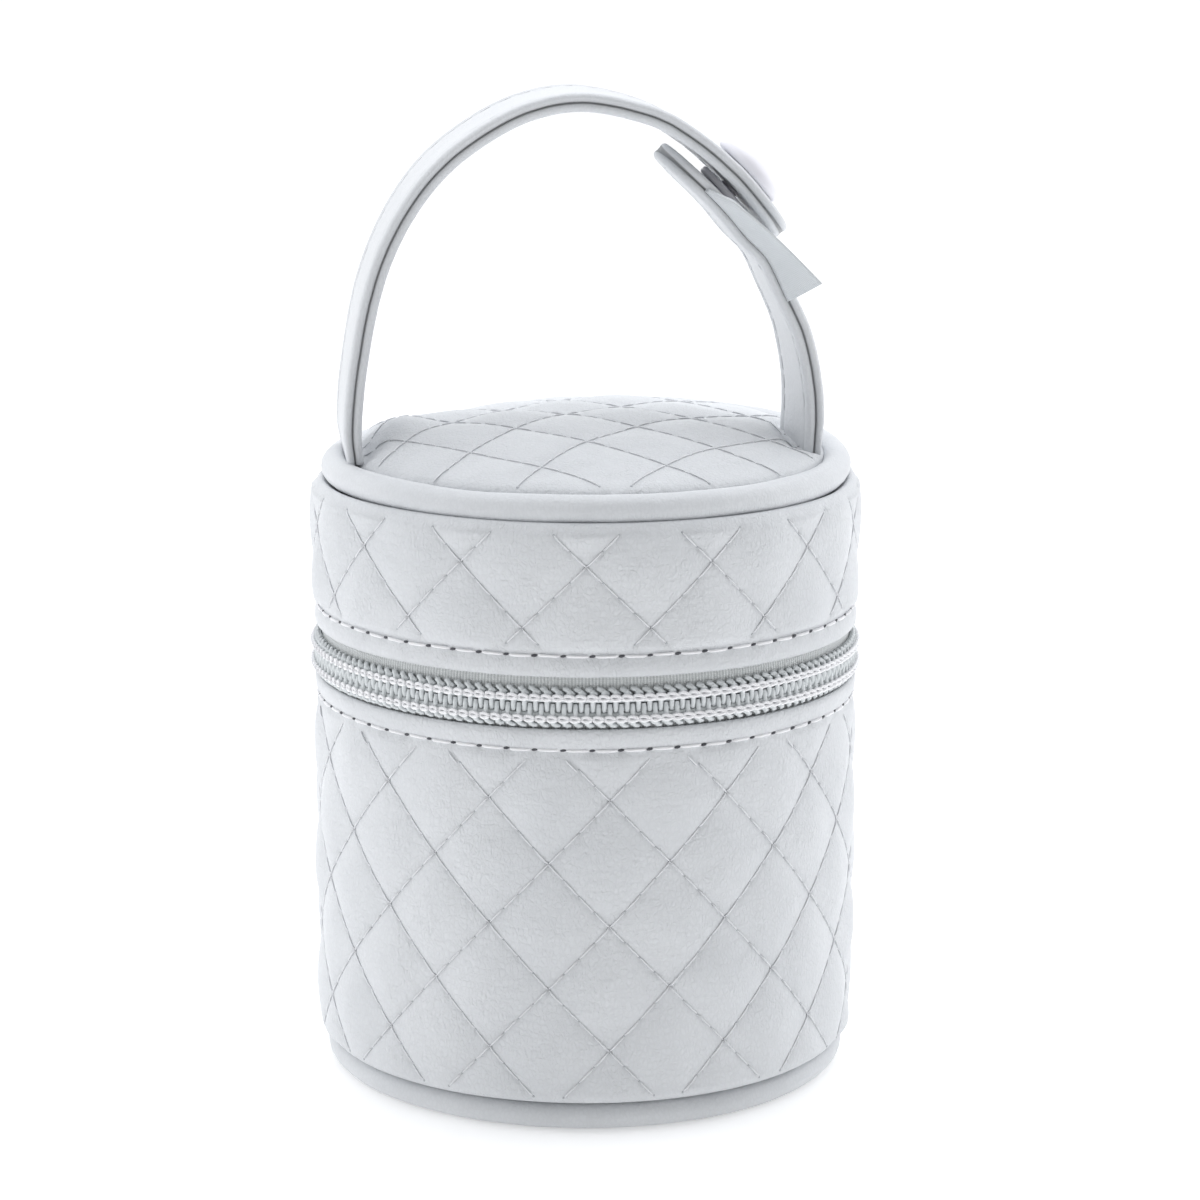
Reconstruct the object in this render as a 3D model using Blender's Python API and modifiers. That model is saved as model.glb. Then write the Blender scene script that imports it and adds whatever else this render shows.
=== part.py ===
"""Round quilted pacifier case: a padded base and lid joined by a zip and a back hinge, with a two-part snap
strap standing over the lid as its handle. Metres, +Z up, the front faces -Y. The origin is the centre of the
flat underside, and the handle stands in the XZ plane."""

import math

import bmesh
import bpy
from mathutils import Vector

MM = 0.001

# Body of the case
CASE_RADIUS = 40.2 * MM
BASE_BULGE = 0.4 * MM
LID_BULGE = 0.6 * MM
WALL = 3.2 * MM
EDGE_THICKNESS = 1.2 * MM
QUILT_PUFF = 1.1 * MM
QUILT_FULLNESS = 0.6
BASE_TOP_Z = 59.2 * MM
ZIP_OPENING = 7.4 * MM
LID_WALL_HEIGHT = 20.8 * MM
TOPSTITCH_INSET = 3.0 * MM
GAP = 0.3 * MM

# Piping and the two round panels
PIPING_RADIUS = 2.0 * MM
BASE_PIPING_SETBACK = 3.3 * MM
LID_PIPING_SETBACK = 3.6 * MM
PANEL_THICKNESS = 3.0 * MM
DOME_RISE = 7.0 * MM
DOME_FULLNESS = 0.65
DOME_PEAK_SHIFT = 3.0 * MM
PANEL_UNDER_SHARES = (0.94, 0.6, 0.0)
RIM_LIFT = 2.2 * MM
RIM_LIFT_DEG = 142.0

# Diamond quilting: the number of half diamonds round a wall, the height of a diamond, and one crossing of
# the stitch lines, by its angle from the front and its height
BASE_HALF_DIAMOND_COUNT = 29
BASE_DIAMOND_HEIGHT = 18.3 * MM
BASE_CROSSING_DEG = -2.2
BASE_CROSSING_Z = 30.6 * MM
LID_HALF_DIAMOND_COUNT = 28
LID_DIAMOND_HEIGHT = 17.6 * MM
LID_CROSSING_DEG = 5.8
LID_CROSSING_ABOVE_EDGE = 6.8 * MM
PANEL_DIAMOND = 17.6 * MM

# Zip and back hinge
TAPE_THICKNESS = 0.6 * MM
TAPE_HIDDEN = 5.6 * MM
COIL_WIDTH = 5.6 * MM
COIL_THICKNESS = 0.8 * MM
COIL_CENTRE_SHARE = 0.42
HINGE_DEG = 42.0
HINGE_THICKNESS = 1.1 * MM
SLIDER_LENGTH = 9.0 * MM
SLIDER_WIDTH = 7.5 * MM
SLIDER_THICKNESS = 1.8 * MM
PULL_LENGTH = 14.0 * MM
PULL_WIDTH = 4.5 * MM
PULL_THICKNESS = 1.0 * MM

# Handle strap, snap and ribbon label
STRAP_WIDTH = 18.0 * MM
STRAP_THICKNESS = 2.6 * MM
STRAP_ROUNDED_EDGE = 0.8 * MM
STRAP_TIP_TURN_DEG = 80.0
HANDLE_SETBACK = 1.8 * MM
HANDLE_RISE = 51.0 * MM
SHORT_STRAP_OVERLAP = 22.5 * MM
SHORT_STRAP_TWIST_DEG = 3.0
SNAP_FROM_TIP = 10.0 * MM
SNAP_CAP_RADIUS = 6.0 * MM
SNAP_CAP_HEIGHT = 3.3 * MM
SNAP_SOCKET_RADIUS = 4.8 * MM
SNAP_SOCKET_THICKNESS = 1.0 * MM
SNAP_POST_RADIUS = 1.5 * MM
SNAP_STUD_DEPTH = 1.6 * MM
STRAP_BEND_ROOM = 0.4 * MM
LABEL_WIDTH = 6.5 * MM
LABEL_LENGTH = 20.5 * MM
LABEL_THICKNESS = 0.8 * MM
LABEL_FROM_TIP = 7.6 * MM

# The long strap's middle line: x as a share of the half span, z as a share of the rise above its root
LONG_ROUTE = [
    {"x": -0.990, "z": 0.000},
    {"x": -1.000, "z": 0.094},
    {"x": -0.974, "z": 0.269},
    {"x": -0.911, "z": 0.478},
    {"x": -0.810, "z": 0.651},
    {"x": -0.661, "z": 0.796},
    {"x": -0.468, "z": 0.906},
    {"x": -0.264, "z": 0.976},
    {"x": -0.030, "z": 1.000},
    {"x": 0.245, "z": 0.958},
    {"x": 0.435, "z": 0.882},
    {"x": 0.592, "z": 0.788},
    {"x": 0.715, "z": 0.690},
    {"x": 0.818, "z": 0.600},
]

# The short strap's middle line up to where it runs under the long one, in the same shares
SHORT_ROUTE = [
    {"x": 0.922, "z": 0.000},
    {"x": 0.928, "z": 0.094},
    {"x": 0.914, "z": 0.202},
    {"x": 0.871, "z": 0.327},
    {"x": 0.796, "z": 0.447},
]

# Under the long strap: distance back from its tip as a share of the overlap, and how much of the snap's
# stack height the two straps stand apart there
OVERLAP_ROUTE = [
    {"back": 0.00, "apart": 0.80},
    {"back": 0.20, "apart": 1.00},
    {"back": 0.40, "apart": 1.00},
    {"back": 0.60, "apart": 1.00},
    {"back": 1.00, "apart": 0.60},
]

# The ribbon label: share of its length, and how far its free edge has turned from level to facing outward
LABEL_TURNS = [
    {"along": 0.00, "turn_deg": 22.0},
    {"along": 0.30, "turn_deg": 26.0},
    {"along": 0.60, "turn_deg": 36.0},
    {"along": 0.80, "turn_deg": 50.0},
    {"along": 1.00, "turn_deg": 60.0},
]

# Fineness of the faceted solids
RING_STEPS = 48
DOME_RINGS = 9
ZIP_STEPS = 42
HINGE_STEPS = 8
LABEL_STEPS = 12
PIPE_SIDES = 8
STRAP_STEPS = 24
TIP_STEPS = 4
SNAP_STEPS = 20
CAP_RINGS = 4
CURVE_STEPS = 6

# Heights and radii that follow from the sizes above
BASE_BELLY_RADIUS = CASE_RADIUS + BASE_BULGE
LID_BELLY_RADIUS = CASE_RADIUS + LID_BULGE
BASE_PIPING_RING_RADIUS = CASE_RADIUS - BASE_PIPING_SETBACK
LID_PIPING_RING_RADIUS = CASE_RADIUS - LID_PIPING_SETBACK
HANDLE_HALF_SPAN = LID_PIPING_RING_RADIUS - HANDLE_SETBACK
LID_EDGE_Z = BASE_TOP_Z + ZIP_OPENING
LID_WALL_TOP_Z = LID_EDGE_Z + LID_WALL_HEIGHT
BASE_PIPING_Z = PIPING_RADIUS
LID_PIPING_Z = LID_WALL_TOP_Z + GAP + PIPING_RADIUS
BASE_WALL_BOTTOM_Z = BASE_PIPING_Z + PIPING_RADIUS + GAP
BASE_PANEL_RADIUS = BASE_PIPING_RING_RADIUS - PIPING_RADIUS - GAP
LID_PANEL_RADIUS = LID_PIPING_RING_RADIUS - PIPING_RADIUS - GAP
LID_PANEL_RIM_Z = LID_PIPING_Z + PIPING_RADIUS / 2
HANDLE_ROOT_Z = LID_PIPING_Z + PIPING_RADIUS + GAP
ZIP_Z = BASE_TOP_Z + COIL_CENTRE_SHARE * ZIP_OPENING
COIL_OUTER_RADIUS = CASE_RADIUS
COIL_INNER_RADIUS = COIL_OUTER_RADIUS - COIL_THICKNESS
TAPE_FRONT_RADIUS = COIL_INNER_RADIUS - GAP
TAPE_HIDDEN_RADIUS = CASE_RADIUS - EDGE_THICKNESS - GAP
SNAP_STACK = SNAP_SOCKET_THICKNESS + 2 * GAP + STRAP_BEND_ROOM

OUTWARD = Vector((0.0, -1.0, 0.0))


def clear_scene():
    """Remove every object of the file, so that only the case is left."""
    for obj in list(bpy.data.objects):
        bpy.data.objects.remove(obj, do_unlink=True)


def new_collection(name, hidden=False):
    """A collection in the scene, for the case's parts or for the cutters."""
    collection = bpy.data.collections.new(name)
    bpy.context.scene.collection.children.link(collection)
    collection.hide_render = hidden
    return collection


def principled(name, colour, roughness, metallic=0.0):
    """One Principled material."""
    material = bpy.data.materials.new(name)
    material.use_nodes = True
    shader = material.node_tree.nodes["Principled BSDF"]
    shader.inputs["Base Color"].default_value = (*colour, 1.0)
    shader.inputs["Roughness"].default_value = roughness
    shader.inputs["Metallic"].default_value = metallic
    return material


def add_object(name, bm, material, collection, sharp_deg=40.0):
    """Turn a finished bmesh into a smooth-shaded object in its collection."""
    mesh = bpy.data.meshes.new(name)
    bm.to_mesh(mesh)
    bm.free()
    mesh.shade_smooth()
    mesh.set_sharp_from_angle(angle=math.radians(sharp_deg))
    mesh.materials.append(material)
    obj = bpy.data.objects.new(name, mesh)
    collection.objects.link(obj)
    return obj


def turned(profile, steps, start_deg=0.0):
    """Spin a closed profile of (radius, z) points once round the Z axis, starting at an angle from the front."""
    bm = bmesh.new()
    angle = math.radians(start_deg)
    across = Vector((math.sin(angle), -math.cos(angle), 0.0))
    loop = [bm.verts.new(across * radius + Vector((0.0, 0.0, z))) for radius, z in profile]
    edges = [bm.edges.new((a, b)) for a, b in zip(loop, loop[1:] + loop[:1])]
    bmesh.ops.spin(
        bm,
        geom=loop + edges,
        cent=(0.0, 0.0, 0.0),
        axis=(0.0, 0.0, 1.0),
        angle=math.tau,
        steps=steps,
        use_merge=True,
        use_duplicate=False,
    )
    bmesh.ops.remove_doubles(bm, verts=bm.verts, dist=1e-7)
    bmesh.ops.recalc_face_normals(bm, faces=bm.faces)
    return bm


def turned_disc(profile, steps):
    """Turn a profile that starts and ends on the Z axis, as for a panel or a snap, with its poles closed."""
    bm = bmesh.new()
    rings = []
    for radius, z in profile:
        count = steps if radius > 0.0 else 1
        angles = [math.tau * i / steps for i in range(count)]
        rings.append([bm.verts.new((radius * math.cos(a), radius * math.sin(a), z)) for a in angles])
    for upper, lower in zip(rings, rings[1:]):
        for i in range(steps):
            j = (i + 1) % steps
            corners = [upper[i % len(upper)], lower[i % len(lower)], lower[j % len(lower)], upper[j % len(upper)]]
            bm.faces.new(list(dict.fromkeys(corners)))
    bmesh.ops.recalc_face_normals(bm, faces=bm.faces)
    return bm


def lofted(sections):
    """Join a row of equal sections, each a loop of points, and cap both ends."""
    bm = bmesh.new()
    rings = [[bm.verts.new(point) for point in section] for section in sections]
    for here, after in zip(rings, rings[1:]):
        for i in range(len(here)):
            j = (i + 1) % len(here)
            bm.faces.new((here[i], here[j], after[j], after[i]))
    bm.faces.new(rings[0][::-1])
    bm.faces.new(rings[-1])
    bmesh.ops.recalc_face_normals(bm, faces=bm.faces)
    return bm


def arc_lofted(profile, start_deg, end_deg, steps):
    """Sweep a closed (radius, z) profile along an arc round the Z axis, with flat ends."""
    sections = []
    for i in range(steps + 1):
        angle = math.radians(start_deg + (end_deg - start_deg) * i / steps)
        across = Vector((math.sin(angle), -math.cos(angle), 0.0))
        sections.append([across * radius + Vector((0.0, 0.0, z)) for radius, z in profile])
    return lofted(sections)


def torus(name, ring_radius, pipe_radius, z, material, collection):
    """A plain ring of piping."""
    bpy.ops.mesh.primitive_torus_add(
        major_radius=ring_radius,
        minor_radius=pipe_radius,
        major_segments=RING_STEPS,
        minor_segments=PIPE_SIDES,
        location=(0.0, 0.0, z),
    )
    ring = bpy.context.object
    ring.name = name
    ring.data.name = name
    for holder in list(ring.users_collection):
        holder.objects.unlink(ring)
    collection.objects.link(ring)
    ring.data.shade_smooth()
    ring.data.materials.append(material)
    return ring


def lid_piping(material, collection):
    """The lid's ring of piping, raised with the rim."""
    ring = torus("lid_piping", LID_PIPING_RING_RADIUS, PIPING_RADIUS, LID_PIPING_Z, material, collection)
    for vert in ring.data.vertices:
        vert.co.z += rim_lift(math.degrees(math.atan2(vert.co.x, -vert.co.y)))
    return ring


def puff(across, up):
    """Height of a diamond's padding, 0 on its stitch lines and 1 in its middle, in units of one diamond."""
    return abs(math.sin(math.pi * (across + up)) * math.sin(math.pi * (across - up))) ** QUILT_FULLNESS


def crease_quads(bm, height_at):
    """Split each four-sided face along its lower diagonal, so that the stitch lines stay sharp."""
    for face in list(bm.faces):
        if len(face.verts) != 4:
            continue
        a, b, c, d = face.verts
        if height_at((a.co + c.co) / 2) <= height_at((b.co + d.co) / 2):
            bmesh.utils.face_split(face, a, c)
        else:
            bmesh.utils.face_split(face, b, d)


def quilt_wall(bm, half_diamonds, diamond_height, crossing_deg, crossing_z, band, stitch_radius):
    """Push a turned wall's outer side out between its stitch lines, within a band of heights."""
    pitch_deg = 720.0 / half_diamonds

    def height_at(point):
        angle = math.degrees(math.atan2(point.x, -point.y)) - crossing_deg
        return puff(angle / pitch_deg, (point.z - crossing_z) / diamond_height)

    low, high = band
    for vert in bm.verts:
        radius = math.hypot(vert.co.x, vert.co.y)
        if radius > stitch_radius - QUILT_PUFF / 2 and low < vert.co.z < high:
            grown = radius + QUILT_PUFF * height_at(vert.co)
            vert.co.x *= grown / radius
            vert.co.y *= grown / radius
    crease_quads(bm, height_at)


def quilt_rows(crossing_z, diamond_height, low, high):
    """Heights a quarter diamond apart that pass through the crossings, from low to high."""
    step = diamond_height / 4
    first = math.ceil((low - crossing_z) / step)
    last = math.floor((high - crossing_z) / step)
    return [crossing_z + step * i for i in range(first, last + 1)]


def rim_lift(angle_deg):
    """How far the lid's rim stands above its level at an angle from the front. The handle pulls up one side."""
    return RIM_LIFT * max(0.0, math.cos(math.radians(angle_deg - RIM_LIFT_DEG))) ** 2


def lift_rim(bm):
    """Raise a lid piece's points with the rim, from nothing at the lid's topstitch to all of it at the top."""
    bottom = LID_EDGE_Z + TOPSTITCH_INSET
    for vert in bm.verts:
        share = min(max((vert.co.z - bottom) / (LID_WALL_TOP_Z - bottom), 0.0), 1.0)
        reach = min(math.hypot(vert.co.x, vert.co.y) / LID_PANEL_RADIUS, 1.0)
        angle = math.degrees(math.atan2(vert.co.x, -vert.co.y))
        vert.co.z += rim_lift(angle) * share * reach * reach


def base_wall(material, collection):
    """The padded wall of the base. Its folded top edge is thinner, and the zip's tape lies behind it."""
    inner = CASE_RADIUS - WALL
    stitch = BASE_BELLY_RADIUS - QUILT_PUFF
    topstitch_z = BASE_TOP_Z - TOPSTITCH_INSET
    rebate_z = BASE_TOP_Z - TAPE_HIDDEN - GAP
    low = BASE_WALL_BOTTOM_Z + PIPING_RADIUS
    high = topstitch_z - PIPING_RADIUS
    rows = quilt_rows(BASE_CROSSING_Z, BASE_DIAMOND_HEIGHT, low, high)
    tuck = BASE_PIPING_RING_RADIUS + PIPING_RADIUS
    profile = [(stitch, z) for z in rows]
    profile += [
        (CASE_RADIUS - EDGE_THICKNESS / 3, topstitch_z),
        (CASE_RADIUS, BASE_TOP_Z - TOPSTITCH_INSET / 2),
        (CASE_RADIUS, BASE_TOP_Z - EDGE_THICKNESS / 3),
        (CASE_RADIUS - EDGE_THICKNESS / 2, BASE_TOP_Z),
        (CASE_RADIUS - EDGE_THICKNESS, BASE_TOP_Z - EDGE_THICKNESS / 3),
        (CASE_RADIUS - EDGE_THICKNESS, rebate_z),
        (inner, rebate_z - EDGE_THICKNESS / 2),
        (inner, (rebate_z + BASE_WALL_BOTTOM_Z) / 2),
        (inner, BASE_WALL_BOTTOM_Z + PIPING_RADIUS),
        (BASE_PIPING_RING_RADIUS - PIPING_RADIUS / 2, BASE_WALL_BOTTOM_Z),
        (BASE_PIPING_RING_RADIUS + PIPING_RADIUS / 2, BASE_WALL_BOTTOM_Z),
        (tuck + GAP, BASE_WALL_BOTTOM_Z),
        (stitch, BASE_WALL_BOTTOM_Z + PIPING_RADIUS / 2),
    ]
    bm = turned(profile, 2 * BASE_HALF_DIAMOND_COUNT, BASE_CROSSING_DEG)
    quilt_wall(
        bm,
        BASE_HALF_DIAMOND_COUNT,
        BASE_DIAMOND_HEIGHT,
        BASE_CROSSING_DEG,
        BASE_CROSSING_Z,
        (low, high),
        stitch,
    )
    return add_object("base_wall", bm, material, collection)


def lid_wall(material, collection):
    """The padded wall of the lid, with its folded edge at the bottom and its shoulder under the piping."""
    inner = CASE_RADIUS - WALL
    stitch = LID_BELLY_RADIUS - QUILT_PUFF
    topstitch_z = LID_EDGE_Z + TOPSTITCH_INSET
    rebate_z = LID_EDGE_Z + TAPE_HIDDEN + GAP
    crossing_z = LID_EDGE_Z + LID_CROSSING_ABOVE_EDGE
    low = topstitch_z + PIPING_RADIUS / 2
    high = LID_WALL_TOP_Z
    rows = quilt_rows(crossing_z, LID_DIAMOND_HEIGHT, low, high - PIPING_RADIUS / 3)
    tuck = LID_PIPING_RING_RADIUS + PIPING_RADIUS
    profile = [(stitch, z) for z in rows]
    profile += [
        (tuck + GAP, LID_WALL_TOP_Z),
        (LID_PIPING_RING_RADIUS + PIPING_RADIUS / 2, LID_WALL_TOP_Z),
        (LID_PIPING_RING_RADIUS - PIPING_RADIUS / 2, LID_WALL_TOP_Z),
        (inner, LID_WALL_TOP_Z - PIPING_RADIUS),
        (inner, rebate_z + EDGE_THICKNESS / 2),
        (CASE_RADIUS - EDGE_THICKNESS, rebate_z),
        (CASE_RADIUS - EDGE_THICKNESS, LID_EDGE_Z + EDGE_THICKNESS / 3),
        (CASE_RADIUS - EDGE_THICKNESS / 2, LID_EDGE_Z),
        (CASE_RADIUS, LID_EDGE_Z + EDGE_THICKNESS / 3),
        (CASE_RADIUS, LID_EDGE_Z + TOPSTITCH_INSET / 2),
        (CASE_RADIUS - EDGE_THICKNESS / 3, topstitch_z),
    ]
    bm = turned(profile, 2 * LID_HALF_DIAMOND_COUNT, LID_CROSSING_DEG)
    quilt_wall(
        bm,
        LID_HALF_DIAMOND_COUNT,
        LID_DIAMOND_HEIGHT,
        LID_CROSSING_DEG,
        crossing_z,
        (low, high),
        stitch,
    )
    lift_rim(bm)
    return add_object("lid_wall", bm, material, collection)


def base_panel(material, collection):
    """The flat round underside that the case stands on."""
    edge = PANEL_THICKNESS / 5
    profile = [
        (0.0, PANEL_THICKNESS),
        (BASE_PANEL_RADIUS - edge, PANEL_THICKNESS),
        (BASE_PANEL_RADIUS, PANEL_THICKNESS - edge),
        (BASE_PANEL_RADIUS, edge),
        (BASE_PANEL_RADIUS - edge, 0.0),
        (0.0, 0.0),
    ]
    return add_object("base_panel", turned_disc(profile, RING_STEPS), material, collection)


def lid_panel(material, collection):
    """The puffy quilted top of the lid: a low dome that peaks a little to the left of its middle."""
    face_x = {-1: -LONG_ROUTE[0]["x"], 1: SHORT_ROUTE[0]["x"]}

    def dome(share):
        return max(0.0, 1.0 - share * share) ** DOME_FULLNESS

    shares = [math.sin(math.pi / 2 * i / DOME_RINGS) for i in range(DOME_RINGS + 1)]
    top = [(LID_PANEL_RADIUS * s, LID_PANEL_RIM_Z + DOME_RISE * dome(s)) for s in shares]
    under_z = LID_PANEL_RIM_Z - PANEL_THICKNESS
    under = [(LID_PANEL_RADIUS * s, under_z + DOME_RISE * dome(s) / 2) for s in PANEL_UNDER_SHARES]
    bm = turned_disc(top + under, RING_STEPS)

    def height_at(point):
        return puff(point.x / PANEL_DIAMOND, point.y / PANEL_DIAMOND)

    def strap_dent(point):
        """The most height that the panel may have near a strap's root, which presses it down."""
        side = 1 if point.x > 0.0 else -1
        inner_face = face_x[side] * HANDLE_HALF_SPAN - STRAP_THICKNESS / 2
        beside = math.hypot(max(0.0, inner_face - abs(point.x)), max(0.0, abs(point.y) - STRAP_WIDTH / 2))
        return HANDLE_ROOT_Z - GAP + max(0.0, beside - STRAP_THICKNESS / 2)

    for vert in bm.verts:
        share = math.hypot(vert.co.x, vert.co.y) / LID_PANEL_RADIUS
        above_rim = vert.co.z - LID_PANEL_RIM_Z
        if above_rim > 0.0:
            vert.co.z += QUILT_PUFF * (height_at(vert.co) - 1.0) * dome(share)
        vert.co.x -= DOME_PEAK_SHIFT * dome(share) ** 2
        vert.co.z = min(vert.co.z, strap_dent(vert.co))
    crease_quads(bm, height_at)
    lift_rim(bm)
    return add_object("lid_panel", bm, material, collection)


def tape_profile(side):
    """Section of one zip tape. side is -1 for the base's tape, below the coil, and 1 for the lid's."""
    edge_z = BASE_TOP_Z if side < 0 else LID_EDGE_Z
    hidden_end = edge_z + side * TAPE_HIDDEN
    meeting = ZIP_Z + side * GAP / 2
    bend = edge_z - side * GAP
    front = [(TAPE_FRONT_RADIUS, meeting), (TAPE_FRONT_RADIUS, bend), (TAPE_HIDDEN_RADIUS, bend + side * GAP * 2)]
    front.append((TAPE_HIDDEN_RADIUS, hidden_end))
    back = [(radius - TAPE_THICKNESS, z) for radius, z in reversed(front)]
    return front + back


def coil_profile(side):
    """Section of one row of zip teeth, a flat rounded band in front of its tape."""
    near = ZIP_Z + side * GAP / 2
    far = ZIP_Z + side * COIL_WIDTH / 2
    corner = side * COIL_THICKNESS / 2
    return [
        (COIL_INNER_RADIUS, near),
        (COIL_OUTER_RADIUS - COIL_THICKNESS / 4, near),
        (COIL_OUTER_RADIUS, near + corner),
        (COIL_OUTER_RADIUS, far - corner),
        (COIL_OUTER_RADIUS - COIL_THICKNESS / 2, far),
        (COIL_INNER_RADIUS, far),
    ]


def zip_and_hinge(tape_material, coil_material, hinge_material, collection):
    """Two tapes and two rows of teeth round the front, and the plain hinge that closes the ring at the back."""
    gap_deg = math.degrees(GAP / CASE_RADIUS)
    half_zip = 180.0 - HINGE_DEG / 2 - gap_deg
    for word, side in (("lower", -1), ("upper", 1)):
        tape = arc_lofted(tape_profile(side), -half_zip, half_zip, ZIP_STEPS)
        add_object("zipper_tape_" + word, tape, tape_material, collection)
        coil = arc_lofted(coil_profile(side), -half_zip, half_zip, ZIP_STEPS)
        add_object("zipper_coil_" + word, coil, coil_material, collection)
    low = BASE_TOP_Z - TAPE_HIDDEN
    high = LID_EDGE_Z + TAPE_HIDDEN
    middle = (BASE_TOP_Z + LID_EDGE_Z) / 2
    front = [
        (TAPE_HIDDEN_RADIUS, low),
        (TAPE_HIDDEN_RADIUS, BASE_TOP_Z - GAP),
        (CASE_RADIUS - GAP, BASE_TOP_Z + 3 * GAP),
        (CASE_RADIUS, middle),
        (CASE_RADIUS - GAP, LID_EDGE_Z - 3 * GAP),
        (TAPE_HIDDEN_RADIUS, LID_EDGE_Z + GAP),
        (TAPE_HIDDEN_RADIUS, high),
    ]
    back = [(radius - HINGE_THICKNESS, z) for radius, z in reversed(front)]
    hinge = arc_lofted(front + back, 180.0 - HINGE_DEG / 2, 180.0 + HINGE_DEG / 2, HINGE_STEPS)
    add_object("back_hinge", hinge, hinge_material, collection)


def boxed(centre, tangent, radial, size):
    """Eight corners of a block: its length along the tangent, its height along Z, its thickness along radial."""
    length, height, thickness = size
    up = Vector((0.0, 0.0, 1.0))
    ring = []
    for along in (-0.5, 0.5):
        face = []
        for rise, out in ((-0.5, -0.5), (0.5, -0.5), (0.5, 0.5), (-0.5, 0.5)):
            face.append(centre + tangent * along * length + up * rise * height + radial * out * thickness)
        ring.append(face)
    return ring


def zipper_slider(material, collection, cutters):
    """The slider, parked at the back beside the hinge, with its pull hanging down: one plain piece."""
    angle = math.radians(180.0 - HINGE_DEG / 2 - math.degrees(SLIDER_LENGTH / CASE_RADIUS))
    radial = Vector((math.sin(angle), -math.cos(angle), 0.0))
    tangent = Vector((math.cos(angle), math.sin(angle), 0.0))
    sag = SLIDER_LENGTH * SLIDER_LENGTH / (8 * CASE_RADIUS)
    plate_radius = COIL_OUTER_RADIUS + GAP + SLIDER_THICKNESS / 2 + sag / 2
    centre = radial * plate_radius + Vector((0.0, 0.0, ZIP_Z))
    body = lofted(boxed(centre, tangent, radial, (SLIDER_LENGTH, SLIDER_WIDTH, SLIDER_THICKNESS)))
    slider = add_object("zipper_slider", body, material, collection)
    bevel = slider.modifiers.new("Rounded corners", "BEVEL")
    bevel.width = SLIDER_THICKNESS / 4
    drop = Vector((0.0, 0.0, -PULL_LENGTH / 2))
    sunk = PULL_THICKNESS / 4
    pull_centre = centre + drop + radial * ((SLIDER_THICKNESS + PULL_THICKNESS) / 2 - sunk)
    pull = lofted(boxed(pull_centre, tangent, radial, (PULL_WIDTH, PULL_LENGTH, PULL_THICKNESS)))
    tab = add_object("slider_pull_shape", pull, material, cutters)
    join = slider.modifiers.new("Pull", "BOOLEAN")
    join.operation = "UNION"
    join.object = tab
    tab.hide_render = True
    tab.display_type = "WIRE"


def smooth_curve(points):
    """Points along a Catmull-Rom curve through the given ones."""
    ends = [points[0] * 2 - points[1]] + points + [points[-1] * 2 - points[-2]]
    curve = []
    for p0, p1, p2, p3 in zip(ends, ends[1:], ends[2:], ends[3:]):
        for i in range(CURVE_STEPS):
            t = i / CURVE_STEPS
            bend = (p0 * 2 - p1 * 5 + p2 * 4 - p3) * t * t
            twist = (p1 * 3 - p0 - p2 * 3 + p3) * t * t * t
            curve.append((p1 * 2 + (p2 - p0) * t + bend + twist) / 2)
    curve.append(points[-1].copy())
    return curve


class Route:
    """A smooth line in the XZ plane that is measured by distance from its start."""

    def __init__(self, points):
        self.points = smooth_curve(points)
        self.marks = [0.0]
        for here, after in zip(self.points, self.points[1:]):
            self.marks.append(self.marks[-1] + (after - here).length)
        self.length = self.marks[-1]

    def at(self, distance):
        """The point at a distance along the line."""
        distance = min(max(distance, 0.0), self.length)
        for i in range(1, len(self.marks)):
            if distance <= self.marks[i]:
                share = (distance - self.marks[i - 1]) / (self.marks[i] - self.marks[i - 1])
                return self.points[i - 1].lerp(self.points[i], share)
        return self.points[-1].copy()

    def along(self, distance):
        """The direction of the line at a distance."""
        reach = STRAP_THICKNESS / 2
        return (self.at(distance + reach) - self.at(distance - reach)).normalized()


def outward_of(tangent):
    """The strap's outer side: a quarter turn to the left of its direction, in the XZ plane."""
    return Vector((-tangent.z, 0.0, tangent.x))


def handle_point(row):
    """A row of a route's table as a point over the lid. Both straps' roots stand on the piping."""
    x = row["x"] * HANDLE_HALF_SPAN
    corner_deg = math.degrees(math.asin(STRAP_WIDTH / 2 / LID_PANEL_RADIUS))
    side_deg = math.copysign(90.0, x)
    lift = max(rim_lift(side_deg - corner_deg), rim_lift(side_deg + corner_deg)) * (1.0 - row["z"])
    return Vector((x, 0.0, HANDLE_ROOT_Z + lift + row["z"] * HANDLE_RISE))


def handle_routes():
    """The middle lines of the long strap and of the short strap under it."""
    long_route = Route([handle_point(row) for row in LONG_ROUTE])
    points = [handle_point(row) for row in SHORT_ROUTE]
    for row in OVERLAP_ROUTE:
        distance = long_route.length - row["back"] * SHORT_STRAP_OVERLAP
        inward = outward_of(long_route.along(distance)) * -(STRAP_THICKNESS + row["apart"] * SNAP_STACK)
        points.append(long_route.at(distance) + inward)
    return long_route, Route(points)


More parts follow.
